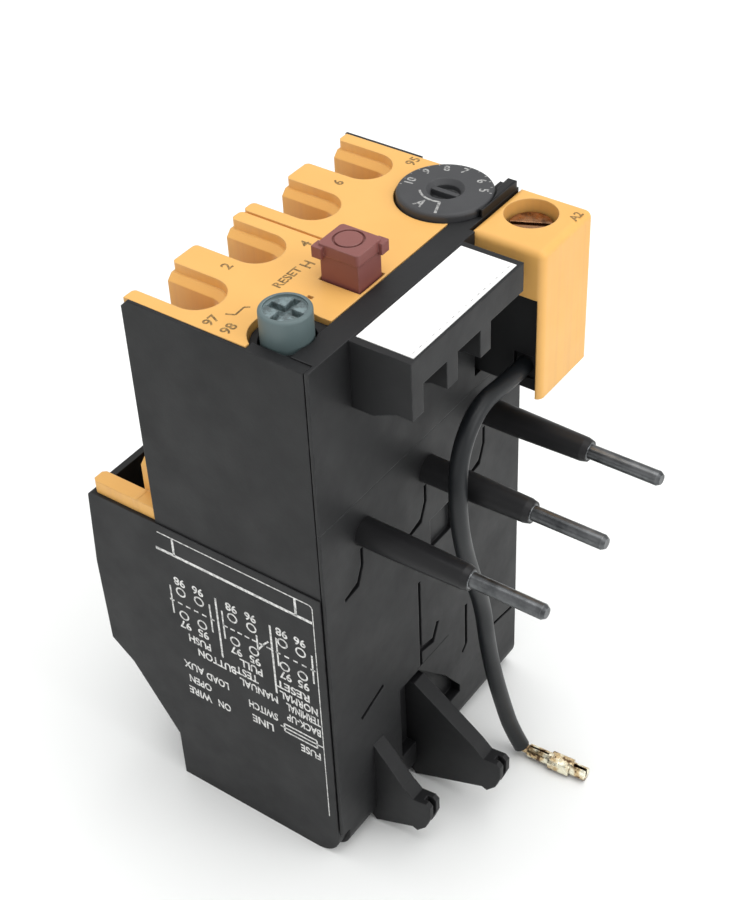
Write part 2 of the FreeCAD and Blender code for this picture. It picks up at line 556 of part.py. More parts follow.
def label_carrier():
    body = new_body("label_carrier")
    side = [("pin_face", "body_depth - 1.6"), ("carrier_reach - 1.4", "body_depth - 1.6"),
            ("carrier_reach - 1.4", "body_depth - carrier_skirt"), ("carrier_reach", "body_depth - carrier_skirt"),
            ("carrier_reach", "body_depth"), ("pin_face", "body_depth")]
    pad(body, "plate", "XZ", "carrier_near", "carrier_far - carrier_near", side)
    pitch = "((carrier_far - carrier_near)/3 - 0.8)"
    for k in range(3):
        start = "carrier_near + %d*%s" % (k, pitch)
        web = [("pin_face", "body_depth - tooth_drop - 1.5"), ("pin_face + 3", "body_depth - tooth_drop - 1.5"),
               ("carrier_reach - 2.2", "body_depth - tooth_drop"), ("carrier_reach", "body_depth - tooth_drop"),
               ("carrier_reach", "body_depth - 1"), ("pin_face", "body_depth - 1")]
        pad(body, "tooth_%d" % (k + 1), "XZ", start, "tooth_width", web)
    pocket(body, "label_seat", "XY", "body_depth - label_thick", "1",
           rect("pin_face + 0.4", "carrier_reach - 0.4", "carrier_near + 1", "carrier_far - 1"))


def label_plate():
    body = new_body("label_plate")
    pad(body, "plate", "XY", "body_depth - label_thick", "label_thick + 0.1",
        rect("pin_face + 0.4", "carrier_reach - 0.4", "carrier_near + 1", "carrier_far - 1"))


def reset_button():
    body = new_body("reset_button")
    top = "(body_depth + reset_rise)"
    low = "(body_depth - plate_thick + reset_travel - 2.2)"
    pad(body, "cap", "XY", low + " + 0.2", "%s - %s - 0.2" % (top, low), disc("reset_x", "reset_y", "reset_radius"))
    round_edges(body, "rim", "0.35", lambda e: e.BoundBox.ZMin > at(top) - 0.01)
    pocket(body, "dish", "XY", top + " - 0.35", "1", disc("reset_x", "reset_y", "reset_radius - 0.55"))
    pocket(body, "slot_long", "XY", top + " - 1.2", "2",
           rect("reset_x - 2.3", "reset_x + 2.3", "reset_y - 0.5", "reset_y + 0.5"))
    pocket(body, "slot_cross", "XY", top + " - 1.2", "2",
           rect("reset_x - 0.5", "reset_x + 0.5", "reset_y - 2.3", "reset_y + 2.3"))
    pocket(body, "spigot_hole", "XY", low + " - 1", "2.8", disc("reset_x", "reset_y", "1.2"))


def reset_plunger():
    body = new_body("reset_plunger")
    low = "(body_depth - plate_thick + reset_travel - 2.2)"
    pad(body, "spigot", "XY", low + " - 1", "2.6", disc("reset_x", "reset_y", "1.2 - fit_gap"))
    pad(body, "stem", "XY", "cavity_floor + 5", low + " - cavity_floor - 5", disc("reset_x", "reset_y", "stem_radius"))
    pad(body, "collar", "XY", "cavity_floor + 12.5", "1.5", disc("reset_x", "reset_y", "stem_radius + 0.8"))


def test_button():
    body = new_body("test_button")
    top = "(body_depth + test_rise)"
    pad(body, "shank", "XY", "test_shoulder", top + " - test_shoulder - test_head + 0.5",
        rect("test_x - test_length/2 + 0.4", "test_x + test_length/2 - 0.4",
             "test_y - test_width/2 + 0.4", "test_y + test_width/2 - 0.4"))
    pad(body, "head", "XY", top + " - test_head", "test_head",
        rect("test_x - test_length/2 + 0.2", "test_x + test_length/2 - 0.2",
             "test_y - test_width/2 + 0.2", "test_y + test_width/2 - 0.2"))
    round_edges(body, "head_corners", "0.5",
                lambda e: straight(e, Z) and e.BoundBox.ZMin > at(top + " - test_head") - 0.1)
    lugs = [rect("test_x - test_length/2 - 0.3", "test_x - test_length/2 + 1.1",
                 "test_y - test_width/2 - 0.3", "test_y - test_width/2 + 1.1"),
            rect("test_x + test_length/2 - 1.1", "test_x + test_length/2 + 0.3",
                 "test_y + test_width/2 - 1.1", "test_y + test_width/2 + 0.3")]
    pad(body, "lugs", "XY", top + " - test_head - 0.3", "test_head", *lugs)
    pad(body, "stem", "XY", "cavity_floor + 10.3", "6.5", disc("test_x", "test_y", "1.5"))
    pocket(body, "ring_outer", "XY", top + " - 0.3", "1", disc("test_x - 0.3", "test_y + 0.2", "1.95"),
           disc("test_x - 0.3", "test_y + 0.2", "1.65"))


def setting_dial():
    body = new_body("setting_dial")
    top = "(body_depth + dial_rise)"
    pad(body, "disc", "XY", top + " - dial_thick", "dial_thick", disc("dial_x", "dial_y", "dial_radius"))
    round_edges(body, "rim", "0.5", lambda e: e.BoundBox.ZMin > at(top) - 0.01)
    pocket(body, "well", "XY", top + " - 1.3", "2", disc("dial_x", "dial_y", "1.9"))
    well = 2 * at("1.9") + 0.01
    round_edges(body, "funnel", "0.6",
                lambda e: e.BoundBox.ZMin > at(top) - 0.01 and e.BoundBox.XLength < well, "PartDesign::Chamfer")
    pad(body, "arrow", "XY", top + " - 1.4", "1.0",
        [("dial_x - 1.95", "dial_y - 0.35"), ("dial_x + 1.95", "dial_y - 0.35"),
         ("dial_x + 1.95", "dial_y + 0.35"), ("dial_x - 1.95", "dial_y + 0.35")])


def setting_cam():
    body = new_body("setting_cam")
    low = "(body_depth + dial_rise - dial_thick)"
    pad(body, "spindle", "XY", "cavity_floor + 9", low + " - cavity_floor - 9", disc("dial_x", "dial_y", "spindle_radius"))
    pad(body, "cam", "XY", "cavity_floor + 11", "3.0", disc("dial_x + cam_throw", "dial_y", "cam_radius"))


def load_pins():
    for k in (1, 2, 3):
        body = new_body("load_pin_%d" % k)
        profile = [("pin_root", "0"), ("pin_tip", "0"), ("pin_tip", "pin_radius - 0.3"),
                   ("pin_tip - 0.5", "pin_radius"), ("sleeve_end", "pin_radius"), ("sleeve_end", "pin_shank"),
                   ("pin_root", "pin_shank")]
        turn(body, "rod", "XY", profile, "H_Axis")
        bind(body, "Placement.Base.y", "%d*pole_pitch" % (k - 2))
        bind(body, "Placement.Base.z", "pin_height")
        sleeve = new_body("pin_sleeve_%d" % k)
        profile = [("pin_face - 2", "pin_shank"), ("sleeve_end", "pin_shank"), ("sleeve_end", "sleeve_nose"),
                   ("sleeve_end - 0.8", "sleeve_nose + 0.2"), ("pin_face + 5", "sleeve_radius"),
                   ("pin_face - 2", "sleeve_radius")]
        turn(sleeve, "tube", "XY", profile, "H_Axis")
        bind(sleeve, "Placement.Base.y", "%d*pole_pitch" % (k - 2))
        bind(sleeve, "Placement.Base.z", "pin_height")


def mounting_hooks():
    """Two tapered hooks, each forked at its tip."""
    root = "(pin_face - hook_seat)"
    for name, start, reach, height, tip_low in (
            ("mounting_hook_1", "hook_near_y", "hook_near_reach", "hook_near_height", "2.7"),
            ("mounting_hook_2", "hook_far_y", "hook_far_reach", "hook_far_height", "4.6")):
        body = new_body(name)
        tip = "(pin_face + %s)" % reach
        side = [(root, "back_radius"), ("pin_face - 0.2", "0.2"), (tip + " - 3.0", tip_low + " + 0.3"),
                (tip + " - 2.2", tip_low), (tip + " - 0.8", tip_low + " + 1.6"), (tip, tip_low + " + 3.9"),
                (tip, tip_low + " + 6.1"), (tip + " - 0.6", tip_low + " + 6.6"),
                (tip + " - 2.8", tip_low + " + 6.3"), (tip + " - 4.4", tip_low + " + 7.8"),
                ("pin_face", height), (root, height)]
        pad(body, "arm", "XZ", start, "hook_thick", side)
        pocket(body, "fork", "XZ", start + " + (hook_thick - fork_gap)/2", "fork_gap",
               rect(tip + " - 1.4", tip + " + 1", "0", tip_low + " + 8"))


def poles():
    for k in (1, 2, 3):
        shift = "%d*pole_pitch" % (k - 2)
        strip = new_body("bimetal_%d" % k)
        pad(strip, "strip", "XZ", "-bimetal_thick/2", "bimetal_thick",
            rect("-bimetal_width/2 - 0.5", "bimetal_width/2 - 0.5", "chamber_floor + 2", "bimetal_tip"))
        bind(strip, "Placement.Base.y", shift)
        heater = new_body("heater_%d" % k)
        half = "(bimetal_width/2 + 0.2)"
        pad(heater, "sleeve", "XY", "heater_foot", "heater_height",
            rect("-%s - 1.3" % half, "%s + 0.5" % half, "-1.8", "1.8"),
            rect("-%s - 0.5" % half, "%s - 0.5" % half, "-0.6", "0.6"))
        groove = pocket(heater, "winding", "XZ", "1.4", "1",
                        rect("-%s - 2" % half, "%s + 2" % half, "heater_foot + 1.2", "heater_foot + 2.2"))
        near = pocket(heater, "winding_near", "XZ", "-2.4", "1",
                      rect("-%s - 2" % half, "%s + 2" % half, "heater_foot + 1.2", "heater_foot + 2.2"))
        pattern = heater.newObject("PartDesign::LinearPattern", "turns")
        pattern.Originals = [groove, near]
        pattern.Direction = (origin_plane(heater, "XY"), [""])
        bind(pattern, "Length", "heater_height - 3.4")
        pattern.Occurrences = 8
        heater.Tip = pattern
        doc.recompute()
        pad(heater, "leg", "XY", "chamber_floor + 2", "heater_foot - chamber_floor - 2",
            rect("-%s - 1.3" % half, "-%s - 0.5" % half, "-strip_width/4", "strip_width/4"))
        bind(heater, "Placement.Base.y", shift)
        tail = new_body("pin_strip_%d" % k)
        pad(tail, "strip", "YZ", "%s + 0.5" % half, "pin_root - %s - 0.5" % half,
            rect("-strip_width/2", "strip_width/2", "heater_foot + heater_height - 6", "pin_height + 1.1"))
        bind(tail, "Placement.Base.y", shift)
        bar = new_body("terminal_bar_%d" % k)
        low = "(chamber_floor + 1)"
        high = "(bay_floor + 4)"
        back = "(-chamber_left + 1)"
        side = [("-%s - 0.5" % half, low), ("-%s - 0.5" % half, low + " + strip_thick"),
                (back + " + strip_thick", low + " + strip_thick"), (back + " + strip_thick", high + " + strip_thick"),
                ("-bay_outer + 0.5", high + " + strip_thick"), ("-bay_outer + 0.5", high), (back, high), (back, low)]
        pad(bar, "bar", "XZ", "-strip_width/2", "strip_width", side)
        foot = [("-%s - 0.5" % half, low), ("%s - 0.5" % half, low),
                ("%s - 0.5" % half, low + " + strip_thick"), ("-%s - 0.5" % half, low + " + strip_thick")]
        pad(bar, "foot", "XZ", "-strip_width/2", "strip_width", foot)
        bind(bar, "Placement.Base.y", shift)
        clamp = new_body("main_clamp_%d" % k)
        pad(clamp, "cage", "YZ", "-bay_outer + 0.3", "bay_outer - bay_inner - 0.6",
            rect("-bay_width/2 + 0.6", "bay_width/2 - 0.6", "bay_floor + 2.5", "bay_floor + 12.8"),
            rect("-bay_width/2 + 1.9", "bay_width/2 - 1.9", "bay_floor + 4", "bay_floor + 11.2"))
        pocket(clamp, "thread", "XY", "bay_floor + 11", "2.5", disc("-(bay_outer + bay_inner)/2", "0", "screw_radius"))
        bind(clamp, "Placement.Base.y", shift)


def screw(label, x, y, tip, head_low, head_high, radius, head):
    """A slotted cheese-head screw standing along Z."""
    body = new_body(label)
    pad(body, "shank", "XY", tip, "%s - (%s)" % (head_low, tip), disc(x, y, radius))
    pad(body, "head", "XY", head_low, "%s - (%s)" % (head_high, head_low), disc(x, y, head))
    pocket(body, "slot", "XY", head_high + " - 1.0", "2",
           rect("%s - 0.4" % x, "%s + 0.4" % x, "%s - %s - 1" % (y, head), "%s + %s + 1" % (y, head)))
    return body


def group(label, members):
    """Several like pieces kept as one node of separate solids."""
    compound = doc.addObject("Part::Compound", label)
    compound.Links = members
    compound.Label = label
    for member in members:
        pieces.remove(member)
    pieces.append(compound)


def terminals():
    x = "(-(bay_outer + bay_inner)/2)"
    members = [screw("main_screw_%d" % k, x, "(%d*pole_pitch)" % (k - 2), "bay_floor + 10.4", "bay_floor + 16",
                     "bay_floor + 19", "screw_radius", "screw_head") for k in (1, 2, 3)]
    group("main_terminal_screws", members)
    members = []
    for k, number in enumerate((95, 96, 97, 98)):
        lane = "(%s*slot_pitch)" % (k - 1.5)
        body = new_body("aux_terminal_%d" % number)
        pad(body, "strip", "XY", "aux_floor", "strip_thick",
            rect("-upper_reach + 1.2", "cavity_left + 3.6", lane + " - strip_width/2", lane + " + strip_width/2"))
        pad(body, "nut", "XY", "aux_floor + strip_thick", "1.6",
            rect("-slot_centre - 4.3", "-slot_centre + 2.3",
                 lane + " - slot_width/2 + 0.5", lane + " + slot_width/2 - 0.5"))
        pad(body, "contact", "XY", "aux_floor + strip_thick", "0.8", disc("cavity_left + 2.4", lane, "1.0"))
        members.append(screw("aux_screw_%d" % number, "(-slot_centre - 1)", lane, "aux_floor + strip_thick + 1.6",
                             "aux_floor + 5.4", "aux_floor + 7.4", "aux_screw_radius", "aux_screw_head"))
    group("aux_terminal_screws", members)
    body = new_body("coil_clamp")
    cx, cy = "((block_left + block_right)/2 - 0.8)", "((block_near + block_far)/2 + 1.1)"
    pad(body, "cage", "XZ", "block_near + 3.2", "block_far - block_near - 5.4",
        rect("block_left + 1.7", "block_right - 0.9", "block_back + 1.2", "block_back + 9.2"),
        rect("block_left + 2.9", "block_right - 1.9", "block_back + 2.3", "block_back + 7.5"))
    pocket(body, "thread", "XY", "block_back + 7", "3", disc(cx, cy, "aux_screw_radius"))
    screw("coil_screw", cx, cy, "block_back + 6.7", "block_back + 16.2", "block_back + 18.6",
          "aux_screw_radius", "aux_screw_head")


def trip_works():
    slide = new_body("trip_slide")
    windows = [rect("-bimetal_width/2 - 0.7", "bimetal_width/2 - 0.3", "%d*pole_pitch - bimetal_thick/2 - slide_travel - run_gap" % k,
                    "%d*pole_pitch + bimetal_thick/2 + run_gap" % k) for k in (-1, 0, 1)]
    frame = rect("-slide_left", "slide_right + 0.9", "-body_width/2 + cover_wall + 2", "body_width/2 - outer_wall - 3")
    pad(slide, "bar", "XY", "slide_rest", "slide_thick", frame, *windows)
    pad(slide, "tab", "XY", "slide_rest", "slide_thick",
        rect("slide_right + 0.8", "lever_x + lever_thick", "lever_y - 1 - run_gap - 1.6", "lever_y - 1 - run_gap"))
    other = new_body("differential_slide")
    pad(other, "bar", "XY", "slide_rest + slide_thick + run_gap", "slide_thick", frame, *windows)
    lever = new_body("trip_lever")
    arm = [("lever_y - 1", "slide_rest - 0.3"), ("lever_y + 1", "slide_rest - 0.3"), ("lever_y + 1", "lever_z - 1.6"),
           ("lever_y + 2", "lever_z"), ("lever_y + finger_reach", "cavity_floor + 0.4"),
           ("lever_y + finger_reach", "aux_floor + 3.6"), ("lever_y + finger_reach - 1.6", "aux_floor + 3.6"),
           ("lever_y + finger_reach - 1.6", "cavity_floor + 1.6"), ("lever_y", "lever_z + 2.2"),
           ("lever_y - 2", "lever_z"),
           ("lever_y - 1", "lever_z - 1.6")]
    pad(lever, "arms", "YZ", "lever_x", "lever_thick", arm, disc("lever_y", "lever_z", "pivot_radius + fit_gap"))
    pad(lever, "finger", "YZ", "cavity_left + 2.4", "lever_x - cavity_left - 2",
        rect("lever_y + finger_reach - 1.6", "lever_y + finger_reach", "aux_floor + 2.2", "aux_floor + 3.6"))
    pin = new_body("trip_pivot_pin")
    pad(pin, "pin", "YZ", "lever_x - 2.5", "shelf_start - lever_x + 2.4", disc("lever_y", "lever_z", "pivot_radius"))


def contact_works():
    carrier = new_body("contact_carrier")
    low = "(aux_floor + 4)"
    pad(carrier, "bar", "XY", low, "2.4",
        rect("cavity_left + 0.6", "cavity_left + 4.2", "-2*slot_pitch + 3", "2*slot_pitch - 4"))
    closed = "(aux_floor + strip_thick + 0.8)"
    opened = "(aux_floor - contact_gap - 0.6)"
    for name, side, height in (("nc_bridge", -1, closed), ("no_bridge", 1, opened)):
        body = new_body(name)
        middle = "(%d*slot_pitch)" % side
        pad(body, "blade", "XY", height, "0.6",
            rect("cavity_left + 1.2", "cavity_left + 3.6",
                 middle + " - slot_pitch/2 - 1.2", middle + " + slot_pitch/2 + 1.2"))
        pad(body, "post", "XY", height + " + 0.6", "%s - %s - 0.6" % (low, height),
            rect("cavity_left + 1.6", "cavity_left + 3.2", middle + " - 1", middle + " + 1"))


def spring(label, x, y, low, high, radius, turns):
    """A wire coil along Z, shown at its working length."""
    wire = at("spring_wire")
    bottom = at(low) + wire
    length = at(high) - at(low) - 2 * wire
    helix = Part.makeHelix(length / turns, length, at(radius))
    section = Part.Wire(Part.makePolygon([Vector(at(radius) + wire * math.cos(math.radians(angle)), 0,
                                                 wire * math.sin(math.radians(angle)))
                                          for angle in range(0, 361, 90)]))
    shape = Part.Wire(helix).makePipeShell([section], True, True)
    feature = doc.addObject("Part::Feature", label)
    feature.Shape = shape
    feature.Placement = Placement(Vector(at(x), at(y), bottom), Rotation())
    feature.Label = label
    pieces.append(feature)


COIL_WIRE_ROUTE = [(21.0, 14.2, 66.9), (21.2, 7.8, 67.3), (21.1, 1.4, 68.0), (21.6, -3.7, 64.0), (21.9, -4.6, 57.0),
                   (21.9, -3.6, 49.5), (21.7, -1.2, 42.0), (21.7, 1.6, 34.2), (21.9, 2.6, 26.0), (22.0, 4.3, 18.0),
                   (22.6, 5.9, 10.6), (23.4, 7.0, 4.8), (25.0, 7.4, 1.6)]
FERRULE_START = (26.2, 7.7, 1.05)
FERRULE_END = (35.4, 8.3, 1.05)


def rounded_path(points):
    """Straight runs joined by tangent arcs; each arc is as large as its two runs allow."""
    points = [Vector(*point) for point in points]
    edges = []
    radii = []
    start = points[0]
    for before, corner, after in zip(points, points[1:], points[2:]):
        back = (before - corner).normalize()
        on = (after - corner).normalize()
        half_turn = (math.pi - back.getAngle(on)) / 2
        shorter = min((before - corner).Length, (after - corner).Length)
        setback = 0.45 * shorter
        radii.append(setback / math.tan(half_turn))
        first = corner + back * setback
        last = corner + on * setback
        inward = (back + on).normalize()
        middle = corner + inward * (radii[-1] / math.cos(half_turn) - radii[-1])
        edges.append(Part.LineSegment(start, first).toShape())
        edges.append(Part.Arc(first, middle, last).toShape())
        start = last
    edges.append(Part.LineSegment(start, points[-1]).toShape())
    return Part.Wire(edges), radii


def crimped_terminal(length):
    """A rolled barrel with a seam, squashed in the middle and open at its end, along X from the origin."""
    radius = at("ferrule_radius")
    half_width = at("crimp_width") / 2
    height = at("crimp_height")
    barrel = Part.makeCylinder(radius, 0.42 * length, Vector(0, 0, 0), X)
    seam = Part.makeBox(0.34 * length, 0.3, radius, Vector(0, -0.15, 0.45 * radius))
    crimp = Part.makeBox(0.36 * length, 2 * half_width, height, Vector(0.38 * length, -half_width, -height / 2))
    crimp = crimp.makeChamfer(0.35, [edge for edge in crimp.Edges if straight(edge, X)])
    lips = Part.makeCylinder(radius, 0.3 * length, Vector(0.7 * length, 0, 0), X)
    slit = Part.makeBox(0.3 * length, 0.5, 2 * radius, Vector(0.78 * length, -0.25, -0.3 * radius))
    return barrel.cut(seam).fuse([crimp, lips]).cut(slit)


def coil_wire():
    path, radii = rounded_path(COIL_WIRE_ROUTE)
    radius = at("wire_radius")
    begin = Vector(*COIL_WIRE_ROUTE[0])
    heading = (Vector(*COIL_WIRE_ROUTE[1]) - begin).normalize()
    section = Part.Wire(Part.Circle(begin, heading, radius).toShape())
    tube = path.makePipeShell([section], True, False)
    volume = math.pi * radius ** 2 * path.Length
    print("coil wire length %.1f, radii %s" % (path.Length, ["%.1f" % r for r in radii]))
    print("coil wire volume %.1f against %.1f" % (tube.Volume, volume))
    if abs(tube.Volume / volume - 1) > 0.01:
        raise RuntimeError("the wire tube does not match its section times its length")
    feature = doc.addObject("Part::Feature", "coil_wire")
    feature.Shape = tube
    feature.Placement = Placement()
    feature.Label = "coil_wire"
    pieces.append(feature)
    end = Vector(*COIL_WIRE_ROUTE[-1])
    start = Vector(*FERRULE_START)
    heading = Vector(*FERRULE_END) - start
    strands = Part.makeCylinder(at("strand_radius"), (start - end).Length + 0.6, end, start - end).cut(tube)
    terminal = crimped_terminal(heading.Length)
    terminal.Placement = Placement(start, Rotation(X, heading))
    ferrule = doc.addObject("Part::Feature", "wire_ferrule")
    ferrule.Shape = terminal.fuse(strands).removeSplitter()
    ferrule.Placement = Placement()
    ferrule.Label = "wire_ferrule"
    pieces.append(ferrule)


power_housing()
power_side_cover()
mechanism_case()
mechanism_side_cover()
front_cover()
main_terminal_cover()
coil_terminal_block()
label_carrier()
label_plate()
reset_button()
reset_plunger()
test_button()
setting_dial()
setting_cam()
load_pins()
mounting_hooks()
poles()
terminals()
trip_works()
contact_works()
spring("reset_spring", "reset_x", "reset_y", "cavity_floor", "cavity_floor + 12.5", "stem_radius + 0.5", 6)
spring("test_spring", "test_x", "test_y", "test_seat", "test_shoulder", "1.9", 3)
coil_wire()
doc.recompute()

for thing in doc.Objects:
    if "Invalid" in thing.State or "Error" in thing.State:
        raise RuntimeError("%s (%s) did not compute" % (thing.Label, thing.Name))
for piece in pieces:
    if piece.Shape.isNull() or not piece.Shape.isValid() or not piece.Shape.Solids:
        raise RuntimeError("%s has no valid solid" % piece.Label)

os.makedirs("parts", exist_ok=True)
for piece in pieces:
    piece.Shape.exportStep(os.path.join("parts", piece.Label + ".step"))
print("%d pieces written" % len(pieces))
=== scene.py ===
import math

import bmesh
import bpy
from mathutils import Matrix, Vector


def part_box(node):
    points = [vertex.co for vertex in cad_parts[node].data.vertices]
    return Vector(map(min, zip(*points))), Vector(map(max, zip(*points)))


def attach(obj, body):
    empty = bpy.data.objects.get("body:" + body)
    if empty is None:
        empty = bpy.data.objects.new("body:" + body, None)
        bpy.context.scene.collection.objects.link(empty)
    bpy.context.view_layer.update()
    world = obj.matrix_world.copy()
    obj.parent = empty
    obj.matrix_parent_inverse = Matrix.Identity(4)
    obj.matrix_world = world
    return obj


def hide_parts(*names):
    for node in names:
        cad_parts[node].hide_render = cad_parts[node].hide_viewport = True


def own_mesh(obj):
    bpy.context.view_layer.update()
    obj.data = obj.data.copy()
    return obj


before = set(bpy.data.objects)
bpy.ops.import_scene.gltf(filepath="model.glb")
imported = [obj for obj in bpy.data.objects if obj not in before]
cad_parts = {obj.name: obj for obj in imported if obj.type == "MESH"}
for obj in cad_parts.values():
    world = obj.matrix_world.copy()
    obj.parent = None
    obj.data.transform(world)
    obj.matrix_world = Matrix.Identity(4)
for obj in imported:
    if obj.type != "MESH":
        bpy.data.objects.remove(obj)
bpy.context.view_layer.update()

MM = 0.001

# ---------------------------------------------------------------- camera

CAMERA_AT = Vector((109.38, -137.54, 198.71)) * MM
CAMERA_HEADING = math.radians(126.82)
CAMERA_FALL = math.radians(39.87)
CAMERA_ROLL = math.radians(-2.70)
LENS = 69.03


def set_camera():
    """The camera looks down along its heading, and is rolled a little about its own line of sight."""
    level = math.cos(CAMERA_FALL)
    sight = Vector((level * math.cos(CAMERA_HEADING), level * math.sin(CAMERA_HEADING), -math.sin(CAMERA_FALL)))
    right = sight.cross(Vector((0, 0, 1))).normalized()
    right.rotate(Matrix.Rotation(-CAMERA_ROLL, 3, sight))
    up = right.cross(sight)
    lens = bpy.data.cameras.new("camera")
    lens.lens = LENS
    lens.sensor_fit = "VERTICAL"
    lens.sensor_height = 36.0
    lens.clip_start = 0.005
    lens.clip_end = 20.0
    camera = bpy.data.objects.new("camera", lens)
    bpy.context.scene.collection.objects.link(camera)
    camera.matrix_world = Matrix.Translation(CAMERA_AT) @ Matrix((right, up, -sight)).transposed().to_4x4()
    bpy.context.scene.camera = camera


# ---------------------------------------------------------------- materials


class Finish:
    """A material under construction: its node tree, its shader and the pattern coordinates."""

    def __init__(self, name):
        self.material = bpy.data.materials.new(name)
        self.material.use_nodes = True
        self.nodes = self.material.node_tree.nodes
        self.links = self.material.node_tree.links
        self.shader = self.nodes["Principled BSDF"]
        self.place = self.nodes.new("ShaderNodeTexCoord").outputs["Object"]

    def set(self, **values):
        for name, value in values.items():
            self.shader.inputs[name.replace("_", " ")].default_value = value

    def link(self, source, target):
        self.links.new(source, target)

    def noise(self, scale, detail=2.0, roughness=0.5, stretch=None):
        node = self.nodes.new("ShaderNodeTexNoise")
        node.inputs["Scale"].default_value = scale
        node.inputs["Detail"].default_value = detail
        node.inputs["Roughness"].default_value = roughness
        self.link(self.stretched(stretch) if stretch else self.place, node.inputs["Vector"])
        return node.outputs["Fac"]

    def stretched(self, scale):
        node = self.nodes.new("ShaderNodeMapping")
        node.inputs["Scale"].default_value = scale
        self.link(self.place, node.inputs["Vector"])
        return node.outputs["Vector"]

    def span(self, value, low, high, to_low=0.0, to_high=1.0):
        node = self.nodes.new("ShaderNodeMapRange")
        node.inputs["From Min"].default_value = low
        node.inputs["From Max"].default_value = high
        node.inputs["To Min"].default_value = to_low
        node.inputs["To Max"].default_value = to_high
        self.link(value, node.inputs["Value"])
        return node.outputs["Result"]

    def blend(self, share, one, other):
        """one where share is 0, other where share is 1; each is a colour or a socket."""
        node = self.nodes.new("ShaderNodeMix")
        node.data_type = "RGBA"
        self.feed(share, node.inputs["Factor"])
        self.feed(one, node.inputs[6])
        self.feed(other, node.inputs[7])
        return node.outputs[2]

    def maths(self, kind, one, other):
        node = self.nodes.new("ShaderNodeMath")
        node.operation = kind
        self.feed(one, node.inputs[0])
        self.feed(other, node.inputs[1])
        return node.outputs[0]

    def feed(self, value, target):
        if isinstance(value, bpy.types.NodeSocket):
            self.link(value, target)
        elif isinstance(value, (tuple, list)) and len(value) == 3:
            target.default_value = (*value, 1.0)
        else:
            target.default_value = value

    def softened(self, radius):
        """The normal with every sharp edge eased over the radius."""
        node = self.nodes.new("ShaderNodeBevel")
        node.samples = 6
        node.inputs["Radius"].default_value = radius
        return node.outputs["Normal"]

    def edges(self, eased):
        """1 on the eased edges, 0 on the flat faces."""
        true_normal = self.nodes.new("ShaderNodeNewGeometry").outputs["True Normal"]
        across = self.nodes.new("ShaderNodeVectorMath")
        across.operation = "DOT_PRODUCT"
        self.link(eased, across.inputs[0])
        self.link(true_normal, across.inputs[1])
        return self.span(across.outputs["Value"], 0.995, 0.80)

    def upward(self):
        normal = self.nodes.new("ShaderNodeNewGeometry").outputs["Normal"]
        parts = self.nodes.new("ShaderNodeSeparateXYZ")
        self.link(normal, parts.inputs[0])
        return parts.outputs["Z"]

    def open_share(self, reach):
        """How much of the sky a point sees within the reach: 1 on an open face, less in a corner or a groove."""
        node = self.nodes.new("ShaderNodeAmbientOcclusion")
        node.samples = 6
        node.inputs["Distance"].default_value = reach
        return node.outputs["AO"]

    def within(self, axis, radius, above):
        """1 inside an upright cylinder round the axis and above a height, all in metres."""
        parts = self.nodes.new("ShaderNodeSeparateXYZ")
        self.link(self.place, parts.inputs[0])
        across = self.maths("SUBTRACT", parts.outputs["X"], axis[0])
        along = self.maths("SUBTRACT", parts.outputs["Y"], axis[1])
        squares = self.maths("ADD", self.maths("MULTIPLY", across, across), self.maths("MULTIPLY", along, along))
        reach = self.maths("SQRT", squares, 0.0)
        inside = self.span(reach, radius, radius - 0.0002)
        return self.maths("MULTIPLY", inside, self.span(parts.outputs["Z"], above - 0.0001, above))

    def bump(self, height, depth, strength=1.0, normal=None):
        node = self.nodes.new("ShaderNodeBump")
        node.inputs["Distance"].default_value = depth
        node.inputs["Strength"].default_value = strength
        self.link(height, node.inputs["Height"])
        if normal is not None:
            self.link(normal, node.inputs["Normal"])
        return node.outputs["Normal"]


def moulded(name, colour, shade, rough=(0.42, 0.6), gloss=0.35, grain=0.00002, worn=None, wear=0.5, edge=0.00025,
            draft=None, hollow=None, dish=None):
    """Moulded plastic: cloudy colour, a fine eroded grain, and eased edges that are rubbed lighter.
    draft is the colour of the faint lines that the tool leaves down the upright walls; hollow is the colour of
    painted shade laid in corners and grooves, the less sky they see the more, and dish a last step that works on the
    colour."""
    finish = Finish(name)
    cloud = finish.span(finish.noise(45.0, 4.0, 0.65), 0.3, 0.7)
    body = finish.blend(cloud, colour, shade)
    relief = finish.noise(2600.0, 3.0, 0.6)
    if draft:
        lines = finish.span(finish.noise(1.0, 2.0, 0.5, (1500.0, 1500.0, 25.0)), 0.45, 0.75)
        upright = finish.span(finish.maths("ABSOLUTE", finish.upward(), 0.0), 0.6, 0.2)
        body = finish.blend(finish.maths("MULTIPLY", lines, finish.maths("MULTIPLY", upright, 0.22)), body, draft)
    if hollow:
        # painted shade: corners and grooves that see little sky are darkened towards the hollow colour
        body = finish.blend(finish.span(finish.open_share(0.003), 0.95, 0.35), body, hollow)
    eased = finish.softened(edge)
    if worn:
        patchy = finish.span(finish.noise(420.0, 3.0, 0.7), 0.35, 0.7)
        rubbed = finish.maths("MULTIPLY", finish.edges(eased), finish.maths("MULTIPLY", patchy, wear))
        body = finish.blend(rubbed, body, worn)
    if dish:
        body = dish(finish, body)
    finish.set(Specular_IOR_Level=gloss)
    finish.link(body, finish.shader.inputs["Base Color"])
    finish.link(finish.span(finish.noise(160.0, 3.0, 0.6), 0.3, 0.7, *rough), finish.shader.inputs["Roughness"])
    finish.link(finish.bump(relief, grain, 0.6, eased), finish.shader.inputs["Normal"])
    return finish.material


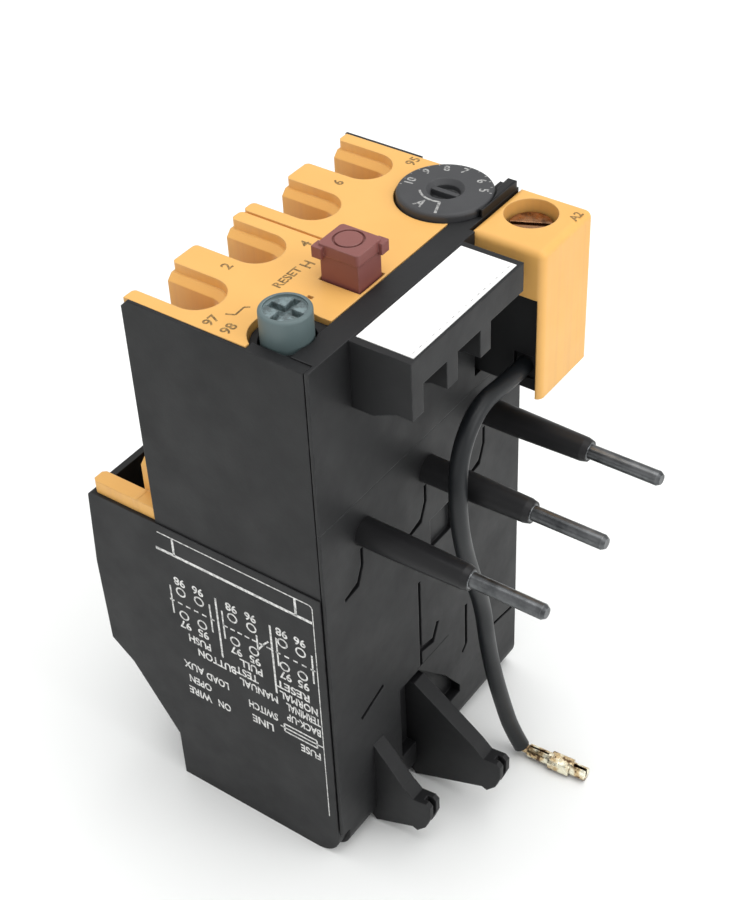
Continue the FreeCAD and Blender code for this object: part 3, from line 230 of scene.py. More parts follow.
def rolled_metal(name, colour, shade, rough=(0.25, 0.42), along=(60.0, 900.0, 900.0), edge=0.00015, painted_highlight=1.35):
    """Drawn or rolled metal: fine streaks along the piece, dull patches and a painted highlight along its edges."""
    finish = Finish(name)
    streak = finish.noise(1.0, 3.0, 0.6, along)
    patch = finish.span(finish.noise(350.0, 4.0, 0.6), 0.35, 0.65)
    eased = finish.softened(edge)
    body = finish.blend(patch, colour, shade)
    # painted highlight: the eased edges are lightened to stand in for glints
    edge_highlight = tuple(min(1.0, painted_highlight * c) for c in colour)
    body = finish.blend(finish.maths("MULTIPLY", finish.edges(eased), 0.5), body, edge_highlight)
    finish.set(Metallic=1.0)
    finish.link(body, finish.shader.inputs["Base Color"])
    finish.link(finish.span(streak, 0.3, 0.7, *rough), finish.shader.inputs["Roughness"])
    finish.link(finish.bump(streak, 0.00002, 0.5, eased), finish.shader.inputs["Normal"])
    return finish.material


def crimped_brass(name, painted_highlight, mid, dark):
    """Thin brass squeezed in a crimping tool: pale flats whose cream colour is partly a painted highlight, tarnished
    folds, dark seams, and painted shade darkening its hollows.
    """
    finish = Finish(name)
    folds = finish.noise(520.0, 2.0, 0.55)
    fine = finish.noise(1500.0, 3.0, 0.6)
    # the pale first colour is partly a painted highlight, laid on the flats at random
    body = finish.blend(finish.span(folds, 0.42, 0.56), painted_highlight, mid)
    seams = finish.span(finish.maths("MULTIPLY", folds, fine), 0.29, 0.36)
    body = finish.blend(seams, body, dark)
    # painted shade: folds and corners that see little sky are darkened towards the dark colour
    body = finish.blend(finish.span(finish.open_share(0.0012), 0.9, 0.3), body, dark)
    finish.set(Metallic=1.0)
    finish.link(body, finish.shader.inputs["Base Color"])
    finish.link(finish.span(fine, 0.3, 0.7, 0.18, 0.4), finish.shader.inputs["Roughness"])
    finish.link(finish.bump(folds, 0.00015, 0.8, finish.softened(0.0002)), finish.shader.inputs["Normal"])
    return finish.material


def dished_button(name, rim, pit, axis, radius, floor):
    """The reset button's plastic: paler on its rim and sides, dark and scuffed in its dish."""

    def dish(finish, body):
        scuffs = finish.span(finish.noise(1100.0, 3.0, 0.7), 0.42, 0.62)
        scuffed = finish.blend(scuffs, pit, tuple(2.4 * c for c in pit))
        return finish.blend(finish.within(axis, radius, floor), body, scuffed)

    return moulded(name, rim, tuple(1.15 * c for c in rim), gloss=0.6, worn=(0.30, 0.38, 0.40), wear=0.9, dish=dish)


def card(name, colour, shade):
    """Matt printed card or film with a faint fibre."""
    finish = Finish(name)
    fibre = finish.noise(1800.0, 4.0, 0.7, (1.0, 3.0, 1.0))
    cloud = finish.span(finish.noise(120.0, 3.0), 0.35, 0.65)
    finish.link(finish.blend(cloud, colour, shade), finish.shader.inputs["Base Color"])
    finish.link(finish.span(fibre, 0.3, 0.7, 0.5, 0.7), finish.shader.inputs["Roughness"])
    finish.link(finish.bump(fibre, 0.00001, 0.5), finish.shader.inputs["Normal"])
    return finish.material


def ink(name, colour, faded, gone=0.7):
    """Printed ink, thin and a little uneven: faded is the colour where the face shows through."""
    finish = Finish(name)
    broken = finish.span(finish.noise(1900.0, 3.0, 0.7), 0.42, gone)
    finish.link(finish.blend(broken, colour, faded), finish.shader.inputs["Base Color"])
    finish.link(finish.span(finish.noise(900.0), 0.3, 0.7, 0.5, 0.65), finish.shader.inputs["Roughness"])
    finish.set(Specular_IOR_Level=0.3)
    return finish.material


# ---------------------------------------------------------------- small tools


def new_piece(name, mesh, material, body):
    piece = bpy.data.objects.new(name, mesh)
    bpy.context.scene.collection.objects.link(piece)
    mesh.materials.clear()
    mesh.materials.append(material)
    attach(piece, body)
    return piece


def paint(material, *nodes):
    for node in nodes:
        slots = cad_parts[node].material_slots
        for slot in slots:
            slot.material = material


# ---------------------------------------------------------------- printing

INK_DEPTH = 0.03 * MM    # a printed mark's thickness, half of it sunk in the face


class Face:
    """A flat face to print on: its origin, the way its lines read and the way its letters stand, all in metres."""

    def __init__(self, origin, right, up):
        right, up = Vector(right), Vector(up)
        self.matrix = Matrix((right, up, right.cross(up))).transposed().to_4x4()
        self.matrix.translation = Vector(origin)


def merged(mesh):
    """The mesh with its doubles merged and its faces turned outwards."""
    shape = bmesh.new()
    shape.from_mesh(mesh)
    bmesh.ops.remove_doubles(shape, verts=shape.verts, dist=1e-7)
    bmesh.ops.recalc_face_normals(shape, faces=shape.faces)
    shape.to_mesh(mesh)
    shape.free()
    return mesh


def plain_mesh(piece):
    """The piece as it looks with its modifiers, as a mesh by itself; the piece goes."""
    bpy.context.view_layer.update()
    mesh = bpy.data.meshes.new_from_object(piece.evaluated_get(bpy.context.evaluated_depsgraph_get()))
    bpy.data.objects.remove(piece)
    return mesh


def letters(words):
    """The words as a solid one metre high at most, on the plane."""
    curve = bpy.data.curves.new("letters", "FONT")
    curve.body = words
    curve.size = 1.0
    curve.resolution_u = 3
    curve.extrude = 0.5
    curve.offset = 0.022
    piece = bpy.data.objects.new("letters", curve)
    bpy.context.scene.collection.objects.link(piece)
    return merged(plain_mesh(piece))


class Print:
    """The marks printed on one face, gathered into one mesh. Places are distances along the face, in millimetres."""

    def __init__(self, face):
        self.face = face
        self.shape = bmesh.new()

    def add(self, mesh, matrix):
        mesh.transform(matrix)
        self.shape.from_mesh(mesh)

    def line(self, start, end, width):
        """A straight stroke with square ends."""
        start, end = Vector(start) * MM, Vector(end) * MM
        run = (end - start).to_3d()
        turn = Matrix.Rotation(math.atan2(run.y, run.x), 4, "Z")
        size = Matrix.Diagonal((run.length, width * MM, INK_DEPTH, 1.0))
        place = Matrix.Translation(((start + end) / 2).to_3d())
        bmesh.ops.create_cube(self.shape, size=1.0, matrix=place @ turn @ size)

    def path(self, width, *points):
        for start, end in zip(points, points[1:]):
            self.line(start, end, width)

    def arc(self, centre, radius, width, start, end, steps):
        """A curved stroke between two angles in degrees."""
        middle = Vector((*centre, 0)) * MM
        near, far = (radius - width / 2) * MM, (radius + width / 2) * MM
        rise = Vector((0, 0, INK_DEPTH / 2))
        rows = []
        for step in range(steps + 1):
            angle = math.radians(start + (end - start) * step / steps)
            ray = Vector((math.cos(angle), math.sin(angle), 0))
            corners = (middle + near * ray - rise, middle + far * ray - rise,
                       middle + far * ray + rise, middle + near * ray + rise)
            rows.append([self.shape.verts.new(corner) for corner in corners])
        for one, other in zip(rows, rows[1:]):
            for side in range(4):
                after = (side + 1) % 4
                self.shape.faces.new((one[side], other[side], other[after], one[after]))
        self.shape.faces.new(rows[0])
        self.shape.faces.new(rows[-1][::-1])

    def words(self, text, centre, high=1.35, wide=None, turn=0.0):
        """Capitals or figures, centred on a place, squeezed or spread to a width where one is given."""
        mesh = letters(text)
        low = Vector([min(v.co[axis] for v in mesh.vertices) for axis in range(3)])
        top = Vector([max(v.co[axis] for v in mesh.vertices) for axis in range(3)])
        size = top - low
        tall = high * MM / size.y
        broad = wide * MM / size.x if wide else tall
        mesh.transform(Matrix.Translation(-(low + top) / 2))
        place = Matrix.Translation((Vector(centre) * MM).to_3d()) @ Matrix.Rotation(math.radians(turn), 4, "Z")
        self.add(mesh, place @ Matrix.Diagonal((broad, tall, INK_DEPTH / size.z, 1.0)))

    def finish(self, name, material, body):
        mesh = bpy.data.meshes.new(name)
        bmesh.ops.recalc_face_normals(self.shape, faces=self.shape.faces)
        self.shape.to_mesh(mesh)
        self.shape.free()
        mesh.transform(self.face.matrix)
        return new_piece(name, mesh, material, body)


# ---------------------------------------------------------------- repeats


class Repeat:
    """A Geometry Nodes tree with named inputs, run once on a guide and turned into a plain mesh."""

    def __init__(self, name, **inputs):
        self.tree = bpy.data.node_groups.new(name, "GeometryNodeTree")
        self.face = self.tree.interface
        self.face.new_socket("Guide", in_out="INPUT", socket_type="NodeSocketGeometry")
        for title in inputs:
            self.face.new_socket(title, in_out="INPUT", socket_type="NodeSocketFloat")
        self.face.new_socket("Finish", in_out="INPUT", socket_type="NodeSocketMaterial")
        self.face.new_socket("Pieces", in_out="OUTPUT", socket_type="NodeSocketGeometry")
        self.given = self.node("NodeGroupInput").outputs
        self.values = inputs

    def node(self, kind, **settings):
        node = self.tree.nodes.new(kind)
        for name, value in settings.items():
            setattr(node, name, value)
        return node

    def join(self, source, target):
        self.tree.links.new(source, target)

    def close(self, pieces):
        """The tree's last steps: instances made real, then the finish."""
        real = self.node("GeometryNodeRealizeInstances")
        self.join(pieces, real.inputs["Geometry"])
        coat = self.node("GeometryNodeSetMaterial")
        self.join(real.outputs["Geometry"], coat.inputs["Geometry"])
        self.join(self.given["Finish"], coat.inputs["Material"])
        self.join(coat.outputs["Geometry"], self.node("NodeGroupOutput").inputs["Pieces"])

    def run(self, guide, material, **sizes):
        piece = bpy.data.objects.new("guide", guide)
        bpy.context.scene.collection.objects.link(piece)
        modifier = piece.modifiers.new("repeat", "NODES")
        modifier.node_group = self.tree
        for socket in self.face.items_tree:
            if socket.in_out == "INPUT" and socket.name in {**self.values, **sizes}:
                modifier[socket.identifier] = {**self.values, **sizes}[socket.name]
            elif socket.name == "Finish":
                modifier[socket.identifier] = material
        return plain_mesh(piece)


def dashes_along():
    """Small bars set along each edge of the guide, as dashes of a line or as ticks across it."""
    tree = Repeat("dashes_along", Pitch=0.001, Length=0.0006, Width=0.0002, Depth=INK_DEPTH)
    runs = tree.node("GeometryNodeMeshToCurve")
    tree.join(tree.given["Guide"], runs.inputs["Mesh"])
    spaced = tree.node("GeometryNodeResampleCurve", mode="LENGTH")
    tree.join(runs.outputs["Curve"], spaced.inputs["Curve"])
    tree.join(tree.given["Pitch"], spaced.inputs["Length"])
    size = tree.node("ShaderNodeCombineXYZ")
    for axis, title in zip("XYZ", ("Length", "Width", "Depth")):
        tree.join(tree.given[title], size.inputs[axis])
    bar = tree.node("GeometryNodeMeshCube")
    tree.join(size.outputs["Vector"], bar.inputs["Size"])
    heading = tree.node("FunctionNodeAlignRotationToVector", axis="X", pivot_axis="Z")
    tree.join(tree.node("GeometryNodeInputTangent").outputs["Tangent"], heading.inputs["Vector"])
    placed = tree.node("GeometryNodeInstanceOnPoints")
    tree.join(spaced.outputs["Curve"], placed.inputs["Points"])
    tree.join(bar.outputs["Mesh"], placed.inputs["Instance"])
    tree.join(heading.outputs["Rotation"], placed.inputs["Rotation"])
    tree.close(placed.outputs["Instances"])
    return tree


def rings_at():
    """A small flat ring at each point of the guide, as the open circle of a terminal."""
    tree = Repeat("rings_at", Radius=0.0006, Line=0.0002, Depth=INK_DEPTH)
    circle = tree.node("GeometryNodeCurvePrimitiveCircle")
    circle.inputs["Resolution"].default_value = 20
    tree.join(tree.given["Radius"], circle.inputs["Radius"])
    stroke = tree.node("GeometryNodeCurvePrimitiveQuadrilateral")
    tree.join(tree.given["Line"], stroke.inputs["Width"])
    tree.join(tree.given["Depth"], stroke.inputs["Height"])
    ring = tree.node("GeometryNodeCurveToMesh")
    tree.join(circle.outputs["Curve"], ring.inputs["Curve"])
    tree.join(stroke.outputs["Curve"], ring.inputs["Profile Curve"])
    placed = tree.node("GeometryNodeInstanceOnPoints")
    tree.join(tree.given["Guide"], placed.inputs["Points"])
    tree.join(ring.outputs["Mesh"], placed.inputs["Instance"])
    tree.close(placed.outputs["Instances"])
    return tree


def guide_points(*places):
    mesh = bpy.data.meshes.new("guide")
    mesh.from_pydata([(x * MM, y * MM, 0.0) for x, y in places], [], [])
    return mesh


def guide_runs(*runs):
    mesh = bpy.data.meshes.new("guide")
    points = [(x * MM, y * MM, 0.0) for run in runs for x, y in run]
    edges, first = [], 0
    for run in runs:
        edges += [(first + step, first + step + 1) for step in range(len(run) - 1)]
        first += len(run)
    mesh.from_pydata(points, edges, [])
    return mesh


def circle_points(centre, radius, start, end, steps):
    """Points round part of a circle, its angles in degrees."""
    angles = [math.radians(start + (end - start) * step / steps) for step in range(steps + 1)]
    return [(centre[0] + radius * math.cos(angle), centre[1] + radius * math.sin(angle)) for angle in angles]


def repeated(name, mesh, face, material, body):
    """A repeat's mesh, laid on its face as a piece of its own."""
    mesh.name = name
    mesh.transform(face.matrix)
    return new_piece(name, merged(mesh), material, body)


# ---------------------------------------------------------------- coil lead

LEAD_ROUTE = [(21.0, 14.2, 66.9), (21.2, 7.8, 67.3), (21.1, 1.4, 68.0), (21.6, -3.7, 64.0), (21.9, -4.6, 57.0),
              (21.9, -3.6, 49.5), (21.7, -1.2, 42.0), (21.7, 1.6, 34.2), (21.9, 2.6, 26.0), (22.0, 4.3, 18.0),
              (22.6, 5.9, 10.6), (23.4, 7.0, 4.8), (25.0, 7.4, 1.6)]
LEAD_DIAMETER = 2.4 * MM


def coil_lead(material):
    curve = bpy.data.curves.new("coil_lead", "CURVE")
    curve.dimensions = "3D"
    curve.bevel_depth = LEAD_DIAMETER / 2
    curve.bevel_resolution = 6
    curve.resolution_u = 10
    curve.use_fill_caps = True
    line = curve.splines.new("NURBS")
    line.points.add(len(LEAD_ROUTE) - 1)
    for point, place in zip(line.points, LEAD_ROUTE):
        point.co = (*(Vector(place) * MM), 1.0)
    line.order_u = 3
    line.use_endpoint_u = True
    curve.materials.append(material)
    piece = bpy.data.objects.new("coil_lead", curve)
    bpy.context.scene.collection.objects.link(piece)
    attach(piece, "housing")
    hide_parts("coil_wire")
    return piece


# ---------------------------------------------------------------- marks

RULE = 0.26         # a thin printed line, mm
BAR = 0.46          # a thick one
RING = 0.72         # the radius of a terminal's open circle
SWITCH_FOOT = 13.2  # the dashed line that links the contacts, from the cover's top edge
NUMBER_HIGH = 1.45  # the height of the terminal numbers
WORD_HIGH = 1.45    # the height of the diagram's words


def side_diagram(face, material):
    """The contact diagram and its words, read with the relay held upside down.
    Distances run from the cover's near upper corner: along its top edge, and down from it."""
    marks = Print(face)
    marks.line((1.8, 1.4), (26.3, 1.4), RULE * 0.7)
    marks.arc((1.9, 2.0), 0.6, RULE * 0.6, 180, 270, 6)
    marks.line((1.3, 2.0), (1.3, 42.0), RULE * 0.5)
    marks.line((1.5, 4.4), (26.9, 4.4), BAR)
    for tick in (4.0, 23.8):
        marks.line((tick, 1.5), (tick, 4.4), BAR * 0.8)
    columns = ((3.8, 6.7), (11.75, 14.9), (20.5, 23.6))
    for left, right in columns:
        marks.words("96", (left, 9.1), NUMBER_HIGH)
        marks.words("98", (right, 9.1), NUMBER_HIGH)
        marks.words("95", (left, 17.1), NUMBER_HIGH)
        marks.words("97", (right, 17.1), NUMBER_HIGH)
    for upright in (2.0, 7.7, 16.6, 18.7, 25.4):
        marks.line((upright, 10.5), (upright, 15.7), RULE)
    marks.path(RULE, (9.1, 12.0), (10.1, 13.2), (11.0, 14.6), (11.0, 11.9))
    marks.line((8.55, 8.7), (8.55, 21.4), RULE * 1.2)
    marks.line((17.5, 8.7), (17.5, 19.8), RULE * 1.2)
    rows = (("PUSH", 21.4, 19.2, 3.8), ("BUTTON", 18.7, 21.3, 6.5), ("PULL", 12.6, 18.9, 3.8),
            ("TEST", 13.5, 20.8, 3.8), ("MANUAL", 11.7, 22.8, 6.4), ("AUX", 23.2, 25.1, 3.6),
            ("LOAD", 19.1, 25.4, 3.9), ("OPEN", 22.4, 27.8, 3.9), ("WIRE", 22.7, 30.2, 4.0),
            ("ON", 18.4, 30.0, 2.2), ("SWITCH", 11.3, 26.5, 4.9),
            ("LINE", 11.6, 29.2, 3.6), ("RESET", 5.7, 19.3, 5.4), ("NORMAL", 4.9, 21.2, 6.2),
            ("TERMINAL", 4.3, 23.1, 5.6), ("BACK-UP", 4.4, 25.2, 5.6), ("FUSE", 3.6, 30.1, 3.3))
    for text, across, down, wide in rows:
        marks.words(text, (across, down), WORD_HIGH, wide)
    marks.path(RULE, (2.4, 27.0), (7.8, 27.0), (7.8, 28.5), (2.4, 28.5), (2.4, 27.0))
    marks.line((1.3, 27.75), (8.5, 27.75), RULE * 0.9)
    marks.finish("side_diagram_print", material, "housing")
    circles = guide_points(*[(x, y) for pair in columns for x in pair for y in (10.95, 15.3)])
    repeated("side_diagram_circles", rings_at().run(circles, material, Radius=RING * MM, Line=RULE * MM), face,
             material, "housing")
    links = guide_runs(((2.0, SWITCH_FOOT), (7.6, SWITCH_FOOT)), ((9.1, SWITCH_FOOT), (16.3, SWITCH_FOOT)),
                       ((18.5, SWITCH_FOOT), (25.4, SWITCH_FOOT)))
    dashes = dashes_along().run(links, material, Pitch=1.15 * MM, Length=0.75 * MM, Width=RULE * MM)
    repeated("side_diagram_links", dashes, face, material, "housing")


def front_marks(face, material):
    """Terminal numbers on the front cover, beside the slots, and the small word between the two buttons."""
    marks = Print(face)
    for text, across, along in (("2", -6.4, -10.7), ("4", -1.4, -1.9), ("6", -6.3, 11.6), ("97", -1.0, -20.2),
                                ("98", 1.7, -20.4), ("95", -1.2, 20.8)):
        marks.words(text, (across, along), 1.5, None, 90)
    marks.path(0.25, (-0.4, -18.4), (0.7, -17.9), (0.6, -16.2), (1.2, -15.8))
    marks.words("RESET", (1.15, -8.7), 1.25, 4.6, 90)
    marks.words("H", (1.5, -5.3), 1.6, 1.2, 90)
    marks.finish("front_numbers_print", material, "housing")


def block_marks(face, material):
    """The coil terminal's small number beside its hole."""
    marks = Print(face)
    marks.words("A2", (23.0, 20.4), 1.2, None, 90)
    marks.finish("block_number_print", material, "housing")


def dial_marks(face, material):
    """The dial's figures round its rim, the arc of its range, its unit and its pointer line."""
    marks = Print(face)
    for text, angle in (("10", -172), ("9", 153), ("8", 121), ("7", 92), ("6", 53), ("5", 26)):
        ray = Vector((math.cos(math.radians(angle)), math.sin(math.radians(angle))))
        marks.words(text, ray * 4.8, 1.25, None, angle - 90)
    marks.arc((0, 0), 3.2, 0.3, -142, -68, 16)
    marks.words("A", (-0.75, -4.4), 1.7, 1.3, -8)
    marks.line((1.15, -3.05), (2.05, -5.4), 0.36)
    marks.finish("dial_figures_print", material, "dial")
    rim = guide_runs(circle_points((0, 0), 5.72, 20, 200, 60))
    ticks = dashes_along().run(rim, material, Pitch=1.35 * MM, Length=0.14 * MM, Width=0.30 * MM)
    repeated("dial_rim_ticks", ticks, face, material, "dial")


def label_dashes(face, size, material):
    """A row of small dashes along the label's near edge."""
    edge = guide_runs(((0.9, 0.55), (size - 0.9, 0.55)))
    dashes = dashes_along().run(edge, material, Pitch=1.3 * MM, Length=0.5 * MM, Width=0.16 * MM)
    repeated("label_edge_dashes", dashes, face, material, "housing")


# ---------------------------------------------------------------- moulded forms


def prism(shape, outline, start, end, axis):
    """A straight solid on an outline, in millimetres, between two heights along an axis: 0 for X, 2 for Z."""
    rings = []
    for height in (start, end):
        places = [(height, a, b) if axis == 0 else (a, b, height) for a, b in outline]
        rings.append([shape.verts.new(Vector(place) * MM) for place in places])
    for side in range(len(outline)):
        after = (side + 1) % len(outline)
        shape.faces.new((rings[0][side], rings[0][after], rings[1][after], rings[1][side]))
    shape.faces.new(rings[0][::-1])
    shape.faces.new(rings[1])


def solid(name, shape, material, body):
    bmesh.ops.recalc_face_normals(shape, faces=shape.faces)
    mesh = bpy.data.meshes.new(name)
    shape.to_mesh(mesh)
    shape.free()
    return new_piece(name, mesh, material, body)


def round_outline(middle, radius, angles):
    return [(middle[0] + radius * math.cos(angle), middle[1] + radius * math.sin(angle)) for angle in angles]


def middle_of(low, top):
    return (low.x + top.x) / 2, (low.y + top.y) / 2


HOOD_NOSE = 0.7         # from the cover's box to the ribs' noses, mm
HOOD_BACK = 7.8         # and to the upright back
HOOD_DECK = 2.0         # the ribs' height
HOOD_WALL = 5.4         # the upright back's height above them
POLE_PITCH = 14.0
LANE = 5.9              # half the open lane of a terminal
OVERLAP = 0.5           # a rib's root inside the back
INSET = 0.02            # keeps two faces from lying in one plane


def terminal_hood(material):
    """The main terminals' cover: a comb of ribs open to the terminal side, and an upright back against the case."""
    low, top = (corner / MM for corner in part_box("main_terminal_cover"))
    nose, back, foot, deck = low.x + HOOD_NOSE, low.x + HOOD_BACK, low.z, low.z + HOOD_DECK
    eased, cut = 0.4, 1.3
    shape = bmesh.new()
    lanes = [y for k in (-1, 0, 1) for y in (k * POLE_PITCH - LANE, k * POLE_PITCH + LANE)]
    edges = [low.y] + lanes + [top.y]
    for start, end in zip(edges[::2], edges[1::2]):
        rounded = [(back + OVERLAP, start), (back + OVERLAP, end), (nose + 0.5, end), (nose, end - eased),
                   (nose, start + eased), (nose + 0.5, start)]
        prism(shape, rounded, foot, deck, 2)
    floor = [(back, low.y + INSET), (top.x, low.y + INSET), (top.x, top.y - INSET), (back, top.y - INSET)]
    prism(shape, floor, foot + INSET, deck - INSET, 2)
    near, far, cap = edges[1], edges[-2], deck + HOOD_WALL
    end_wall = [(near, foot + 0.1), (far, foot + 0.1), (far, cap - 1.2), (far - cut, cap), (near + cut, cap),
                (near, cap - 1.2)]
    prism(shape, end_wall, back, top.x, 0)
    piece = solid("terminal_hood", shape, material, "housing")
    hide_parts("main_terminal_cover")


def hollow_lip(material):
    """The slanted upper wall of the hollow behind the far hook. It stands a hair proud of the case's face."""
    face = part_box("power_housing")[1].x / MM
    depth, proud = 1.7, 0.03
    outline = [(-3.6, 21.65), (4.3, 21.65), (7.45, 12.6), (7.45, 8.2), (3.2, 14.3)]
    shape = bmesh.new()
    prism(shape, outline, face - depth, face + proud, 0)
    solid("hollow_lip", shape, material, "housing")


def dial_ledge(material):
    """The flat ledge between the dial and the coil terminal's block."""
    low, top = (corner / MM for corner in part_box("setting_dial"))
    middle, gap = middle_of(low, top), (top.x - low.x) / 2 + 0.25
    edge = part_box("coil_terminal_block")[0].x / MM - 0.06
    near, far, below, above = 2.0, 6.0, 1.4, 0.12
    round_dial = [(middle[0] + math.sqrt(gap * gap - y * y), middle[1] + y)
                  for y in (-near, -1.0, 0.0, 1.0, 2.0, 2.8, 3.4)]
    outline = [(edge, middle[1] - near), *round_dial]
    outline += [(middle[0] + 5.4, middle[1] + far), (edge, middle[1] + far)]
    shape = bmesh.new()
    prism(shape, outline[::-1], top.z - below, top.z + above, 2)
    solid("dial_ledge", shape, material, "housing")


SLOT_TURN = math.radians(25)    # how far the coil screw's slot is turned
SLOT_HALF = 0.35                # half the slot's width, mm
SLOT_DEEP = 0.7
SCREW_SUNK = 1.5                # from the block's face down to the screw's


def screw_face(material):
    """The coil terminal's slotted screw head, raised to just under the block's face."""
    low, top = (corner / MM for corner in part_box("coil_screw"))
    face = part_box("coil_terminal_block")[1].z / MM - SCREW_SUNK
    middle, radius = middle_of(low, top), (top.x - low.x) / 2
    shape = bmesh.new()
    turn = [math.tau * t / 48 for t in range(48)]
    prism(shape, round_outline(middle, radius, turn), top.z - 0.2, face - SLOT_DEEP, 2)
    reach = math.asin(SLOT_HALF / radius)
    for side in (0, math.pi):
        sweep = [side + reach + (math.pi - 2 * reach) * t / 24 + SLOT_TURN for t in range(25)]
        prism(shape, round_outline(middle, radius - INSET, sweep), face - SLOT_DEEP - 0.1, face, 2)
    solid("coil_screw_face", shape, material, "housing")


def lead_grommet(material):
    """The plug that closes the hole round the lead, behind the coil terminal block."""
    x, y, z = LEAD_ROUTE[0]
    wide, high, cut, front, back = 1.6, 1.85, 0.4, y - 1.6, y - 0.9
    ring = [(x - wide, front + cut), (x - wide + cut, front), (x + wide - cut, front), (x + wide, front + cut),
            (x + wide, back), (x - wide, back)]
    shape = bmesh.new()
    prism(shape, ring, z - high, z + high, 2)
    solid("lead_grommet", shape, material, "housing")


def sprung(name, node, material):
    """A coil spring as a piece of its own, with its own copy of the part's mesh, in place of the part."""
    piece = new_piece(name, merged(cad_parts[node].data.copy()), material, "housing")
    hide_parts(node)
    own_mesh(piece)


# ---------------------------------------------------------------- stage


def stage():
    floor = bpy.data.meshes.new("floor")
    wide = 6.0
    floor.from_pydata([(-wide, -wide, 0), (wide, -wide, 0), (wide, wide, 0), (-wide, wide, 0)], [], [(0, 1, 2, 3)])
    piece = bpy.data.objects.new("floor", floor)
    bpy.context.scene.collection.objects.link(piece)
    finish = Finish("floor_white")
    white = finish.blend(finish.noise(3.0), (0.945, 0.955, 0.945), (0.93, 0.94, 0.93))
    finish.link(white, finish.shader.inputs["Base Color"])
    finish.set(Roughness=0.7)
    floor.materials.append(finish.material)


def area_light(name, place, aim, size, power):
    lamp = bpy.data.lights.new(name, "AREA")
    lamp.shape = "RECTANGLE"
    lamp.size, lamp.size_y = size
    lamp.energy = power
    piece = bpy.data.objects.new(name, lamp)
    piece.location = place
    piece.rotation_euler = (Vector(aim) - Vector(place)).to_track_quat("-Z", "Y").to_euler()
    bpy.context.scene.collection.objects.link(piece)


def studio():
    world = bpy.data.worlds.new("studio")
    world.use_nodes = True
    world.node_tree.nodes["Background"].inputs["Color"].default_value = (1.0, 1.0, 1.0, 1.0)
    world.node_tree.nodes["Background"].inputs["Strength"].default_value = 0.76
    bpy.context.scene.world = world
    bpy.context.scene.view_settings.view_transform = "Standard"
    middle = (0.01, 0.0, 0.05)
    area_light("overhead", (0.05, 0.10, 0.9), middle, (0.8, 0.8), 4.2)
    area_light("right", (0.75, 0.12, 0.45), middle, (0.5, 0.5), 2.2)
    area_light("front", (0.05, -0.8, 0.45), middle, (0.6, 0.6), 0.6)


# ---------------------------------------------------------------- the relay

CHARCOAL = ((0.0145, 0.0148, 0.0156), (0.0162, 0.0166, 0.0174))
# the charcoal's hollow colour is painted shade, darkening its grooves and corners
black = moulded("charcoal_moulding", *CHARCOAL, rough=(0.45, 0.6),
                gloss=0.24, worn=(0.10, 0.10, 0.105), wear=0.5, hollow=(0.007, 0.007, 0.008))
plain_black = moulded("charcoal_fill", *CHARCOAL, rough=(0.45, 0.6), gloss=0.24, edge=0.00001)
yellow = moulded("yellow_moulding", (0.76, 0.405, 0.108), (0.80, 0.45, 0.13), rough=(0.4, 0.52), grain=0.00001,
                 worn=(0.93, 0.66, 0.34), draft=(0.62, 0.31, 0.14))
knob_low, knob_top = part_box("reset_button")
blue = dished_button("blue_moulding", (0.085, 0.122, 0.125), (0.075, 0.100, 0.104),
                     ((knob_low.x + knob_top.x) / 2, (knob_low.y + knob_top.y) / 2), 2.55 * MM, knob_top.z - 1.8 * MM)
red = moulded("red_moulding", (0.195, 0.058, 0.050), (0.235, 0.074, 0.062), gloss=0.6, worn=(0.52, 0.27, 0.25))
dial = moulded("dial_moulding", (0.034, 0.035, 0.038), (0.048, 0.049, 0.052), gloss=0.42, worn=(0.2, 0.2, 0.2))
sleeve = moulded("sleeve_moulding", (0.010, 0.010, 0.011), (0.014, 0.014, 0.015), rough=(0.35, 0.5), gloss=0.26)
natural = moulded("natural_moulding", (0.62, 0.58, 0.48), (0.68, 0.64, 0.54))
lead = moulded("lead_jacket", (0.0060, 0.0075, 0.0090), (0.0085, 0.0100, 0.0118), rough=(0.36, 0.5), gloss=0.34)
# the pins carry a strong painted highlight along their edges
steel = rolled_metal("pin_steel", (0.15, 0.155, 0.16), (0.065, 0.068, 0.071), along=(500.0, 1500.0, 1500.0),
                     painted_highlight=3.2)
zinc = rolled_metal("zinc_plate", (0.50, 0.49, 0.46), (0.42, 0.41, 0.39), along=(300.0, 300.0, 300.0))
copper = rolled_metal("copper_strip", (0.70, 0.40, 0.27), (0.58, 0.33, 0.23))
brass = rolled_metal("brass_sheet", (0.80, 0.66, 0.36), (0.55, 0.42, 0.22), along=(400.0, 400.0, 400.0))
crimped = crimped_brass("crimped_brass", (1.0, 0.96, 0.76), (0.64, 0.48, 0.27), (0.13, 0.075, 0.04))
# the coil screw's brown is painted shade and a painted reflection of the orange walls of its hole, laid over its zinc
screw_reflection_shade = crimped_brass("screw_painted_reflection_shade", (0.42, 0.22, 0.11), (0.30, 0.16, 0.085), (0.15, 0.08, 0.045))
label_white = card("label_card", (0.92, 0.92, 0.91), (0.88, 0.88, 0.87))
pale_ink = ink("pale_ink", (0.80, 0.80, 0.78), (0.26, 0.26, 0.26))
brown_ink = ink("brown_ink", (0.15, 0.09, 0.03), (0.50, 0.30, 0.10))
figure_ink = ink("figure_ink", (0.40, 0.40, 0.39), (0.12, 0.12, 0.12), 0.62)
grey_ink = ink("grey_ink", (0.42, 0.42, 0.42), (0.80, 0.80, 0.79))

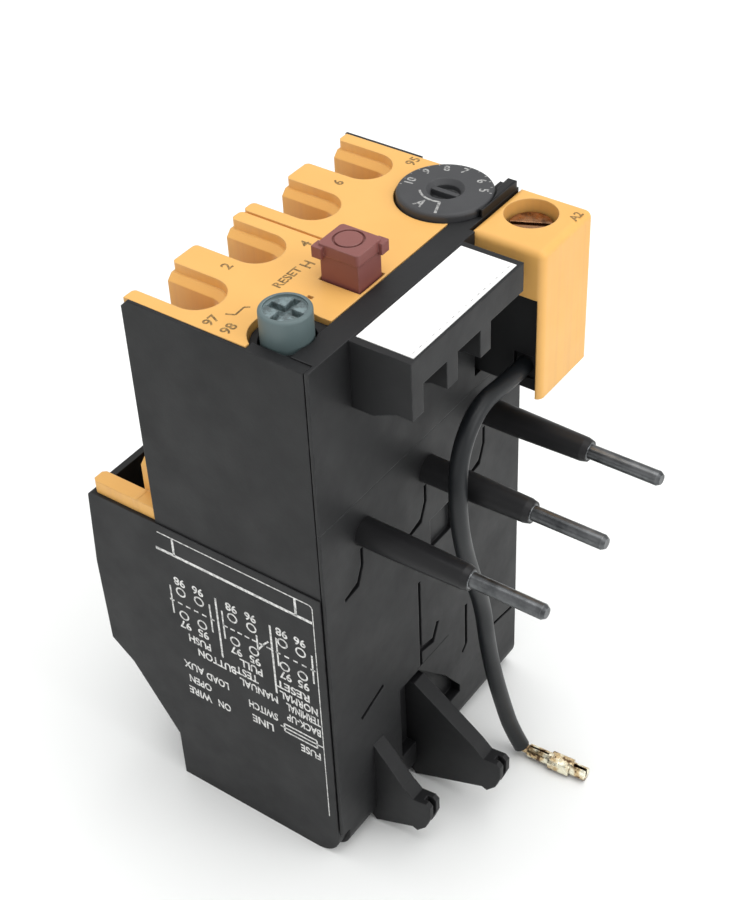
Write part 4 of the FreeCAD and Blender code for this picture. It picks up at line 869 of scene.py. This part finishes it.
paint(black, "power_housing", "power_side_cover", "mechanism_case", "mechanism_side_cover", "label_carrier",
      "mounting_hook_1", "mounting_hook_2", "trip_lever", "contact_carrier")
paint(yellow, "front_cover", "main_terminal_cover", "coil_terminal_block")
paint(blue, "reset_button")
paint(red, "test_button")
paint(dial, "setting_dial")
paint(natural, "reset_plunger", "trip_slide", "differential_slide")
paint(label_white, "label_plate")
paint(brass, "setting_cam", "nc_bridge", "no_bridge")
paint(crimped, "wire_ferrule")
paint(zinc, "main_terminal_screws", "aux_terminal_screws", "coil_clamp", "coil_screw", "reset_spring", "test_spring",
      "trip_pivot_pin")
for pole in (1, 2, 3):
    paint(steel, "load_pin_%d" % pole, "bimetal_%d" % pole, "heater_%d" % pole)
    paint(sleeve, "pin_sleeve_%d" % pole)
    paint(copper, "pin_strip_%d" % pole, "terminal_bar_%d" % pole)
    paint(zinc, "main_clamp_%d" % pole)
for terminal in (95, 96, 97, 98):
    paint(copper, "aux_terminal_%d" % terminal)

set_camera()
coil_lead(lead)

cover_low, cover_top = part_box("power_side_cover")
side_diagram(Face((cover_top.x, cover_low.y, cover_top.z), (-1, 0, 0), (0, 0, -1)), pale_ink)
front_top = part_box("front_cover")[1].z
front_marks(Face((0, 0, front_top), (1, 0, 0), (0, 1, 0)), brown_ink)
block_marks(Face((0, 0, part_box("coil_terminal_block")[1].z), (1, 0, 0), (0, 1, 0)), brown_ink)
dial_low, dial_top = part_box("setting_dial")
dial_marks(Face(((dial_low.x + dial_top.x) / 2, (dial_low.y + dial_top.y) / 2, dial_top.z), (1, 0, 0), (0, 1, 0)),
           figure_ink)
label_low, label_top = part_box("label_plate")
label_dashes(Face((label_top.x, label_low.y, label_top.z), (0, 1, 0), (-1, 0, 0)), (label_top.y - label_low.y) / MM,
             grey_ink)

terminal_hood(yellow)
hollow_lip(plain_black)
dial_ledge(black)
# the screw head is coloured with painted shade and a painted orange reflection
screw_face(screw_reflection_shade)
lead_grommet(sleeve)
sprung("reset_coil_spring", "reset_spring", zinc)
sprung("test_coil_spring", "test_spring", zinc)

stage()
studio()
